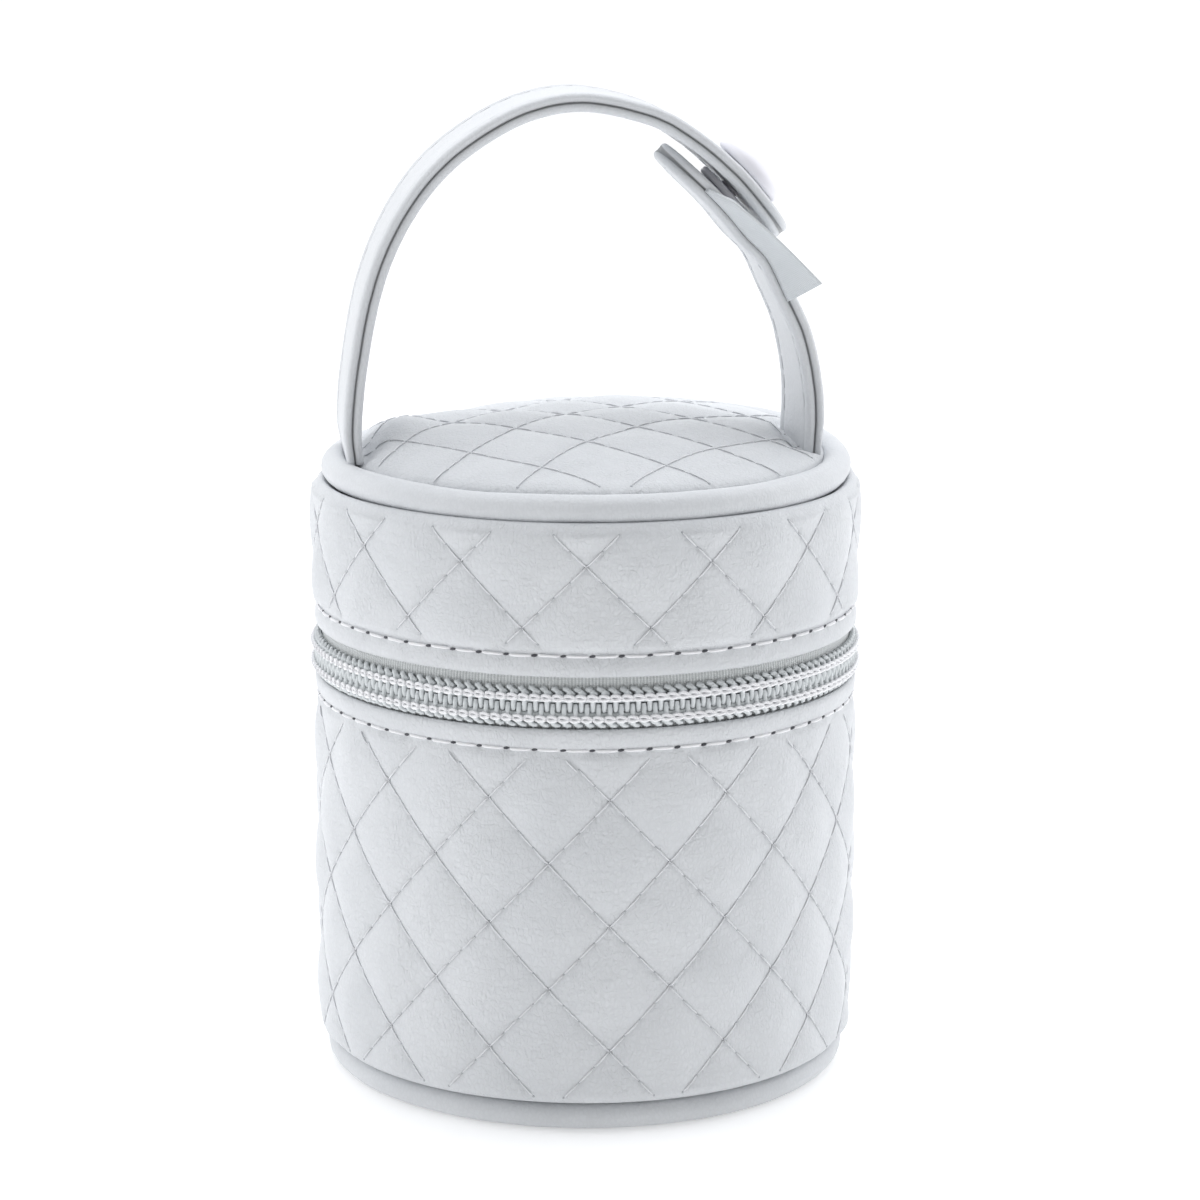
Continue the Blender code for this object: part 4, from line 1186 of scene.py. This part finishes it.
def chain_unit(material):
    """One link of the chain stitch: a thread loop that narrows to one end."""
    line = []
    for k in range(11):
        turn = math.tau * k / 10 * 0.94 + 0.19
        narrow = 0.31 * (1.0 - 0.40 * math.cos(turn))
        across, rise = narrow * math.sin(turn), 0.10 + 0.14 * math.cos(turn)
        line.append(Vector((-0.72 * math.cos(turn), across, rise)) * MM)
    return hidden_unit(tube("chain_unit", line, 0.27 * MM, 5, material))


def zip_spots(side, offset, radius, shift=0.0, inward=1.0):
    """Spots along the zip, one for each tooth, on one side of the meeting line."""
    count = int(math.radians(2 * ZIP_HALF_DEG) * CASE_RADIUS / TOOTH_PITCH)
    spots = []
    for k in range(count):
        angle = math.radians(-ZIP_HALF_DEG) + (k + 0.5 + shift) * TOOTH_PITCH / CASE_RADIUS
        if angle > math.radians(ZIP_HALF_DEG - 0.6):
            continue
        out = Vector(ring_point(1.0, angle, 0.0))
        along = Vector((math.cos(angle), math.sin(angle), 0.0)) * side * inward
        at = Vector(ring_point(radius, angle, ZIP_Z + side * offset))
        spots.append(spot(at, out, along, (1.0, 1.0, 1.0)))
    return spots


def squared(value, power):
    """A sine or cosine bent towards the sides of a rounded square."""
    return math.copysign(abs(value) ** power, value)


def zip_slider(material):
    """Slider with its bridge and its hanging pull, parked beside the hinge."""
    angle = math.radians(180.0 - HINGE_DEG / 2 - math.degrees(9.0 * MM / CASE_RADIUS))
    out = Vector(ring_point(1.0, angle, 0.0))
    along = Vector((math.cos(angle), math.sin(angle), 0.0))
    up = Vector((0.0, 0.0, 1.0))
    centre = Vector(ring_point(CASE_RADIUS + 1.3 * MM, angle, ZIP_Z))

    def plate(name, outline, low, high, bend):
        """A flat piece from its outline in (along, up) pairs, with softened faces."""
        sections = []
        rings = [(0.0, 0.90), (0.05, 0.955), (0.16, 0.99), (0.30, 1.0)]
        depths = [(low + d * MM, k) for d, k in rings] + [(high - d * MM, k) for d, k in reversed(rings)]
        for depth, shrink in depths:
            sections.append([
                centre + along * a * shrink * MM + up * (bend + (u - bend) * shrink) * MM + out * depth
                for a, u in outline
            ])
        return swept(name, sections, material)

    body = []
    for k in range(48):
        turn = math.tau * k / 48
        waist = 1.0 - 0.12 * math.sin(turn) ** 8
        nose = 0.86 if math.cos(turn) > 0 else 1.0
        body.append((
            4.4 * squared(math.cos(turn), 0.7),
            3.6 * nose * waist * squared(math.sin(turn), 0.7),
        ))
    slider = plate("slider_body", body, -0.9 * MM, 0.9 * MM, 0.0)
    arch = [centre + along * (a * MM) + out * (h * MM) for a, h in
            ((-3.0, 0.6), (-2.8, 1.5), (-1.8, 2.1), (0.0, 2.3), (1.8, 2.1), (2.8, 1.5), (3.0, 0.6))]
    bridge = tube("slider_bridge", catmull(arch, 4), 0.55 * MM, 10, material, 1.2)
    tab = []
    for k in range(40):
        turn = math.tau * k / 40
        tab.append((2.25 * squared(math.cos(turn), 0.5), -6.4 + 7.0 * squared(math.sin(turn), 0.6)))
    pull = plate("slider_pull", tab, 1.15 * MM, 2.05 * MM, -6.4)
    eye = []
    for k in range(25):
        turn = math.tau * k / 24
        across, rise = 1.5 * math.cos(turn), -0.9 + 1.5 * math.sin(turn)
        eye.append(centre + along * (across * MM) + up * (rise * MM) + out * 1.6 * MM)
    loop = tube("slider_loop", eye, 0.38 * MM, 8, material)
    return slider, bridge, pull, loop


# Handle straps, snap and label

class Route:
    """A smooth line in the XZ plane that is measured by distance from its start."""

    def __init__(self, points):
        self.points = catmull(points, 12)
        self.marks = [0.0]
        for here, after in zip(self.points, self.points[1:]):
            self.marks.append(self.marks[-1] + (after - here).length)
        self.length = self.marks[-1]

    def at(self, distance):
        if distance < 0.0:
            return self.points[0] + (self.points[1] - self.points[0]).normalized() * distance
        place = min(int(np.searchsorted(self.marks, distance)), len(self.marks) - 1)
        if place == 0:
            return self.points[0].copy()
        span = self.marks[place] - self.marks[place - 1]
        share = min((distance - self.marks[place - 1]) / span, 1.0)
        return self.points[place - 1].lerp(self.points[place], share)

    def along(self, distance):
        reach = STRAP_THICKNESS / 2
        return (self.at(distance + reach) - self.at(distance - reach)).normalized()


def outward_of(tangent):
    """The strap's outer side: a quarter turn to the left of its direction, in the XZ plane."""
    return Vector((-tangent.z, 0.0, tangent.x))


def handle_point(row):
    """A row of a route's table as a point over the lid."""
    x = row["x"] * HANDLE_HALF_SPAN
    corner = math.asin(STRAP_WIDTH / 2 / LID_PANEL_RADIUS)
    side = math.copysign(math.pi / 2, x)
    lift = max(rim_lift(side - corner), rim_lift(side + corner)) * (1.0 - row["z"])
    return Vector((x, 0.0, HANDLE_ROOT_Z + lift + row["z"] * HANDLE_RISE))


def handle_routes():
    """The middle lines of the long strap and of the short strap under it."""
    long_route = Route([handle_point(row) for row in LONG_ROUTE])
    points = [handle_point(row) for row in SHORT_ROUTE]
    for row in OVERLAP_ROUTE:
        distance = long_route.length - row["back"] * SHORT_STRAP_OVERLAP
        inward = outward_of(long_route.along(distance)) * -(STRAP_THICKNESS + row["apart"] * SNAP_STACK)
        points.append(long_route.at(distance) + inward)
    return long_route, Route(points)


LAYER = STRAP_THICKNESS / 2
GROOVE = 0.55 * MM
GROOVE_SHARES = (0.25, 0.6, 1.0)


def face_height(inset):
    """Height of a strap's face above its middle plane, by distance in from its edge."""
    round_edge = LAYER / 2
    deep = min(inset, round_edge)
    height = round_edge + math.sqrt(max(0.0, round_edge ** 2 - (round_edge - deep) ** 2))
    stitch = math.exp(-((inset - STRAP_STITCH_INSET) / (0.40 * MM)) ** 2)
    roll = math.exp(-((inset - 1.15 * MM) / (0.6 * MM)) ** 2)
    return height + (0.10 * roll - 0.20 * stitch) * MM


def under_height(inset):
    """Half the gap between the two layers at the strap's edge, by distance in from the edge."""
    round_edge = LAYER / 2
    deep = min(inset, round_edge)
    return round_edge - math.sqrt(max(0.0, round_edge ** 2 - (round_edge - deep) ** 2))


def strap_axes(route, distance, outer_side, twist_deg):
    """A strap's front and outward directions, with a twist that fades towards the snap."""
    outward = outward_of(route.along(distance)) * outer_side
    fade = max(0.0, 1.0 - max(distance, 0.0) / (route.length - SHORT_STRAP_OVERLAP))
    twist = math.radians(twist_deg) * fade
    front = TO_FRONT * math.cos(twist) + outward * math.sin(twist)
    return front, outward * math.cos(twist) - TO_FRONT * math.sin(twist)


def strap_slack(y, distance, outer_side):
    """The small unevenness of a strap's face."""
    place = Vector((y, distance, 3.0 * outer_side)) / MM
    return 0.10 * MM * noise.noise(place * 0.10) + 0.03 * MM * noise.noise(place * 0.5)


def strap(name, route, outer_side, twist_deg, sink, material):
    """A turned strap of two layers, with a groove between them all round its edge and a rounded tip."""
    half = STRAP_WIDTH / 2
    straight = route.length - half
    stations = list(np.linspace(-sink, straight, 190))
    stations += [straight + half * math.sin(math.pi / 2 * k / 26) for k in range(1, 26)]
    stations += [straight + half * 0.9995]
    insets = [0.0, 0.03, 0.10, 0.22, 0.40, 0.65, 1.0, 1.4, 1.8, 2.1, 2.3, 2.5, 2.8, 3.3, 4.2, 5.4, 6.6, 7.8]
    sections, seam_shade = [], []
    for distance in stations:
        centre = route.at(distance)
        front, outward = strap_axes(route, distance, outer_side, twist_deg)
        beyond = max(0.0, distance - straight)
        wide = math.sqrt(max(half * half - beyond * beyond, 1e-12))
        root = 1.0 - ease(distance, -sink, 5.0 * MM)
        press = 1.0 - 0.15 * root
        lefts = [max(-wide, -wide + i * MM * min(1.0, wide / (8.0 * MM))) for i in insets]
        ys = lefts + [0.0] + [-y for y in reversed(lefts)]
        loop, marks = [], []

        def inset_of(y):
            return max(0.0, half - math.hypot(beyond, y)) if beyond > 0.0 else half - abs(y)

        def add(y, n, shade_mark):
            soft = strap_slack(y, distance, outer_side)
            loop.append(centre + front * y + outward * (n * press + soft))
            marks.append(shade_mark)

        deep = min(GROOVE, wide * 0.9)
        for side, across in ((1.0, ys), (-1.0, ys[::-1])):
            for y in across:
                inset = inset_of(y)
                # painted shade along the stitch dent
                shade_mark = 0.10 * math.exp(-((inset - STRAP_STITCH_INSET) / (0.35 * MM)) ** 2)
                add(y, side * face_height(inset), shade_mark)
            # painted shade in the groove between the two layers, strongest deep in it
            for shares, layer in ((GROOVE_SHARES, side), (GROOVE_SHARES[::-1], -side)):
                for share in shares:
                    y = side * (wide - deep * share)
                    add(y, layer * under_height(inset_of(y)), 1.0 if share > 0.3 else 0.25)
        sections.append(loop)
        seam_shade += marks
    return swept(name, sections, material, seam_shade=seam_shade)


def strap_stitches(route, outer_side, twist_deg):
    """Spots of the topstitching along both edges of both faces, round the tip."""
    half = STRAP_WIDTH / 2
    inner = half - STRAP_STITCH_INSET
    straight = route.length - half
    track = [(d, -inner) for d in np.arange(2.5 * MM, straight, STRAP_STITCH_PITCH)]
    turns = int(math.pi * inner / STRAP_STITCH_PITCH)
    track += [
        (straight + inner * math.sin(math.pi * k / turns), -inner * math.cos(math.pi * k / turns))
        for k in range(turns + 1)
    ]
    track += [(d, inner) for d in np.arange(straight - STRAP_STITCH_PITCH, 2.0 * MM, -STRAP_STITCH_PITCH)]
    threads, holes = [], []
    for side in (1.0, -1.0):
        line = []
        for distance, y in track:
            front, outward = strap_axes(route, distance, outer_side, twist_deg)
            soft = strap_slack(y, distance, outer_side)
            height = side * (face_height(STRAP_STITCH_INSET) + 0.02 * MM) + soft
            line.append((route.at(distance) + front * y + outward * height, outward * side))
        for (here, up), (there, _) in zip(line, line[1:]):
            threads.append(stitch_between(here, there, (here + there) / 2, up, STRAP_THREAD_RADIUS))
            holes.append(spot(here, up, (there - here).normalized(), (0.4, 0.34, 0.34)))
    return threads, holes


def turned_piece(name, profile, steps, material, centre, axis):
    """A turned piece whose profile runs from the axis to the axis, or a ring, stood on the snap's axis."""
    turn = axis.to_track_quat("Z", "Y").to_matrix()
    sections = []
    for i in range(steps):
        angle = math.tau * i / steps
        section = []
        for radius, z in profile:
            radius = max(radius, 0.0005)
            at = Vector((radius * math.cos(angle), radius * math.sin(angle), z))
            section.append(centre + turn @ at * MM)
        sections.append(section)
    return swept(name, sections, material, closed_path=True)


def snap_pieces(long_route, material):
    """Domed cap with its pressed rim, socket ring and stud."""
    distance = long_route.length - SNAP_FROM_TIP
    centre = long_route.at(distance)
    axis = outward_of(long_route.along(distance))
    cap_profile = [(0.0, 4.90)]
    for k in range(1, 15):
        angle = math.pi / 2 * k / 14
        cap_profile.append((5.80 * math.sin(angle) ** 0.95, 2.45 + 2.45 * math.cos(angle)))
    cap_profile += [
        (5.85, 2.2), (5.82, 1.95), (5.68, 1.72), (5.45, 1.62),
        (1.5, 1.62), (1.5, -2.5), (1.3, -2.55), (0.0, -2.55),
    ]
    cap = turned_piece("snap_cap_domed", cap_profile, 72, material, centre, axis)
    socket_profile = [
        (4.6, -2.0), (4.8, -2.15), (4.8, -2.85), (4.6, -3.0), (3.6, -3.0),
        (3.3, -2.75), (2.2, -2.75), (1.85, -2.9), (1.85, -2.1), (2.2, -2.0), (3.4, -2.15), (3.8, -2.0),
    ]
    socket = turned_piece("snap_socket_ring", socket_profile, 60, material, centre, axis)
    stud_profile = [
        (0.0, -2.85), (1.2, -2.88), (1.5, -3.1), (1.42, -3.6), (1.5, -4.7), (1.3, -4.88), (0.0, -4.9),
    ]
    stud = turned_piece("snap_stud_post", stud_profile, 40, material, centre, axis)
    return cap, socket, stud


def ribbon(short_route, material):
    """The bare ribbon, folded over, its two ends caught in the short strap's seam."""
    steps = 60
    sections = []
    first_end, last_end = (Vector((end["x"], end["y"], end["z"])) * MM for end in LABEL_FREE_EDGE)
    for i in range(steps + 1):
        share = i / steps
        distance = short_route.length - LABEL_FROM_TIP - share * LABEL_LENGTH
        tangent = short_route.along(distance)
        strap_out = -outward_of(tangent)
        near = short_route.at(distance) + TO_FRONT * (STRAP_WIDTH / 2 - 0.2 * MM)
        bow = 0.5 * MM * math.sin(math.pi * share)
        across = first_end.lerp(last_end, share) + strap_out * bow - near
        tucked = ease(share, -0.02, 0.16)
        reach = across.length * (0.25 + 0.75 * tucked)
        across.normalize()
        thick = tangent.cross(across).normalized()
        open_by = (0.35 * (1.0 - ease(share, 0.10, 0.45)) * tucked + 0.06) * MM
        line = []
        for k in range(15):
            a = k / 14
            belly = open_by * math.sin(math.pi * min(a * 1.15, 1.0)) ** 0.8 * (1.0 if a < 0.87 else 0.9)
            line.append((reach * math.sin(math.pi / 2 * a), 0.13 * MM + belly))
        curve = line + [(reach + 0.18 * MM, 0.0)] + [(a, -t) for a, t in reversed(line)]
        sag = 0.25 * MM * math.sin(math.pi * share * 1.3)
        outer, inner = [], []
        for k, (a, t) in enumerate(curve):
            before, after = curve[max(k - 1, 0)], curve[min(k + 1, len(curve) - 1)]
            da, dt = after[0] - before[0], after[1] - before[1]
            length = math.hypot(da, dt) or 1.0
            na, nt = -dt / length, da / length
            lift = sag * math.sin(math.pi * min(a / reach, 1.0))
            for holder, sign in ((outer, 0.5), (inner, -0.5)):
                off_a, off_t = a + na * sign * RIBBON_THICKNESS, t + nt * sign * RIBBON_THICKNESS
                holder.append(near + across * off_a + thick * (off_t + lift))
        sections.append(outer + inner[::-1])
    return swept("ribbon_label_folded", sections, material)


# Build

pale, shade = (0.722, 0.737, 0.756), (0.678, 0.694, 0.714)
# The last argument sets how strong the painted shade along seams and creases is.
quilted_leather = leather("quilted_faux_leather", pale, shade, 0.045, 0.20, 0.46, 0.05)
plain_leather = leather("smooth_faux_leather", pale, shade, 0.022, 0.10, 0.44, 0.10)
strap_leather = leather("strap_faux_leather", pale, shade, 0.022, 0.10, 0.42, 0.85)
tape_weave = woven_tape("zip_tape_weave", (0.84, 0.86, 0.86), (0.50, 0.52, 0.52))
coil_nylon = nylon("nylon_coil", (0.76, 0.79, 0.80), (0.66, 0.69, 0.70))
white_thread = thread_finish("white_thread", (0.97, 0.97, 0.98), (0.86, 0.86, 0.88), 1.6)
quilt_thread = thread_finish("quilting_thread", (0.86, 0.87, 0.89), (0.79, 0.80, 0.82), 2.0)
# painted shade: dark discs in the topstitch needle holes
needle_hole = moulded_plastic("needle_hole_shadow", (0.10, 0.10, 0.11), (0.06, 0.06, 0.07), 0.8)
# painted shade: mid-grey discs in the quilting and strap stitch dimples
dimple_shade = moulded_plastic("quilting_dimple_shade", (0.52, 0.54, 0.56), (0.44, 0.46, 0.48), 0.8)
snap_plastic = moulded_plastic("white_snap_plastic", (0.92, 0.91, 0.95), (0.88, 0.87, 0.92), 0.32)
ribbon_satin = satin("satin_ribbon", (0.74, 0.77, 0.79), (0.64, 0.67, 0.69))
slider_paint = enamel("slider_enamel", (0.60, 0.61, 0.63), (0.56, 0.57, 0.59))

photo_camera()
studio()
PLACING = placing_tree()
thread = thread_unit(white_thread)
hole = hole_unit(needle_hole)
tooth = tooth_unit(coil_nylon)
coil_end = coil_end_unit(coil_nylon)
chain = chain_unit(white_thread)

base_grid, base_wall = base_cover(quilted_leather)
settle(base_wall, ("base_wall",))
lid_grid, lid_wall = lid_cover(quilted_leather)
settle(lid_wall, ("lid_wall",))
dome = LidDome()
lid_panel = dome.build("lid_panel_quilted", quilted_leather)
settle(lid_panel, ("lid_panel",))

quilting = (
    ("base_quilt", base_grid.stitches(QUILT_THREAD_RADIUS), 3),
    ("lid_quilt", lid_grid.stitches(QUILT_THREAD_RADIUS), 5),
    ("dome_quilt", dome.stitches(), 7),
)
for name, (threads, holes), seed in quilting:
    place_units(name + "_thread", thread, threads, quilt_thread, 0.03, seed)
    place_units(name + "_holes", hole, holes, dimple_shade, 0.12, seed + 1)

edges = (
    ("base_topstitch", topstitches(BASE_STITCH_RADIUS, BASE_TOP_Z - TOPSTITCH_INSET, no_lift), 9),
    ("lid_topstitch", topstitches(LID_STITCH_RADIUS, LID_EDGE_Z + TOPSTITCH_INSET, lid_lift), 11),
)
for name, (threads, holes), seed in edges:
    place_units(name, thread, threads, white_thread, 0.03, seed)
    place_units(name + "_holes", hole, holes, needle_hole, 0.10, seed + 1)

base_cord = (BASE_PIPING_RING, BASE_PIPING_Z, BASE_PIPING_RADIUS)
lid_cord = (LID_PIPING_RING, LID_PIPING_Z, LID_PIPING_RADIUS)
base_piping = piping("base_piping_corded", *base_cord, no_lift, 0.35, plain_leather)
settle(base_piping, ("base_piping",))
lid_piping = piping("lid_piping_corded", *lid_cord, rim_lift, 1.0, plain_leather)
settle(lid_piping, ("lid_piping",))
settle(base_round(plain_leather), ("base_panel",))
settle(hinge_gusset(plain_leather), ("back_hinge",))

settle(zip_tape("zip_tape_lower_woven", -1, tape_weave), ("zipper_tape_lower",))
settle(zip_tape("zip_tape_upper_woven", 1, tape_weave), ("zipper_tape_upper",))
lower_spots, upper_spots = zip_spots(-1, 0.0, COIL_RADIUS), zip_spots(1, 0.0, COIL_RADIUS, 0.5)
lower_teeth = place_units("zip_teeth_lower", tooth, lower_spots, coil_nylon)
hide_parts("zipper_coil_lower")
upper_teeth = place_units("zip_teeth_upper", tooth, upper_spots, coil_nylon)
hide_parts("zipper_coil_upper")
place_units("zip_coil_ends_lower", coil_end, lower_spots, coil_nylon, 0.03, 17)
place_units("zip_coil_ends_upper", coil_end, upper_spots, coil_nylon, 0.03, 18)
for side, name in ((-1, "zip_cord_lower"), (1, "zip_cord_upper")):
    angles = np.radians(np.linspace(-ZIP_HALF_DEG, ZIP_HALF_DEG, 420))
    cord = [Vector(ring_point(COIL_RADIUS, a, ZIP_Z + side * ZIP_CORD_OFFSET)) for a in angles]
    settle(tube(name, cord, ZIP_CORD_RADIUS, 8, coil_nylon, 1.2), ())
chain_radius = COIL_RADIUS + CHAIN_PROUD
lower_links = zip_spots(-1, CHAIN_OFFSET, chain_radius)
upper_links = zip_spots(1, CHAIN_OFFSET, chain_radius, 0.5, -1.0)
place_units("zip_chain_lower", chain, lower_links, white_thread, 0.02, 13)
place_units("zip_chain_upper", chain, upper_links, white_thread, 0.02, 14)
slider_body, *slider_rest = zip_slider(slider_paint)
settle(slider_body, ("zipper_slider",))
for piece in slider_rest:
    settle(piece, ())

long_route, short_route = handle_routes()
long_strap = strap("strap_long_turned", long_route, 1.0, 0.0, 0.5 * MM, strap_leather)
settle(long_strap, ("strap_long",))
short_strap = strap("strap_short_turned", short_route, -1.0, SHORT_STRAP_TWIST_DEG, 2.4 * MM, strap_leather)
settle(short_strap, ("strap_short",))
long_threads, long_holes = strap_stitches(long_route, 1.0, 0.0)
short_threads, short_holes = strap_stitches(short_route, -1.0, SHORT_STRAP_TWIST_DEG)
place_units("strap_stitches", thread, long_threads + short_threads, quilt_thread, 0.03, 15)
place_units("strap_stitch_holes", hole, long_holes + short_holes, dimple_shade, 0.10, 16)
snap_cap, snap_socket, snap_stud = snap_pieces(long_route, snap_plastic)
settle(snap_cap, ("snap_cap",))
settle(snap_socket, ("snap_socket",))
settle(snap_stud, ("snap_stud",))
label = ribbon(short_route, ribbon_satin)
settle(label, ("ribbon_label",))

for unit in (thread, hole, tooth, coil_end, chain):
    bpy.data.objects.remove(unit)
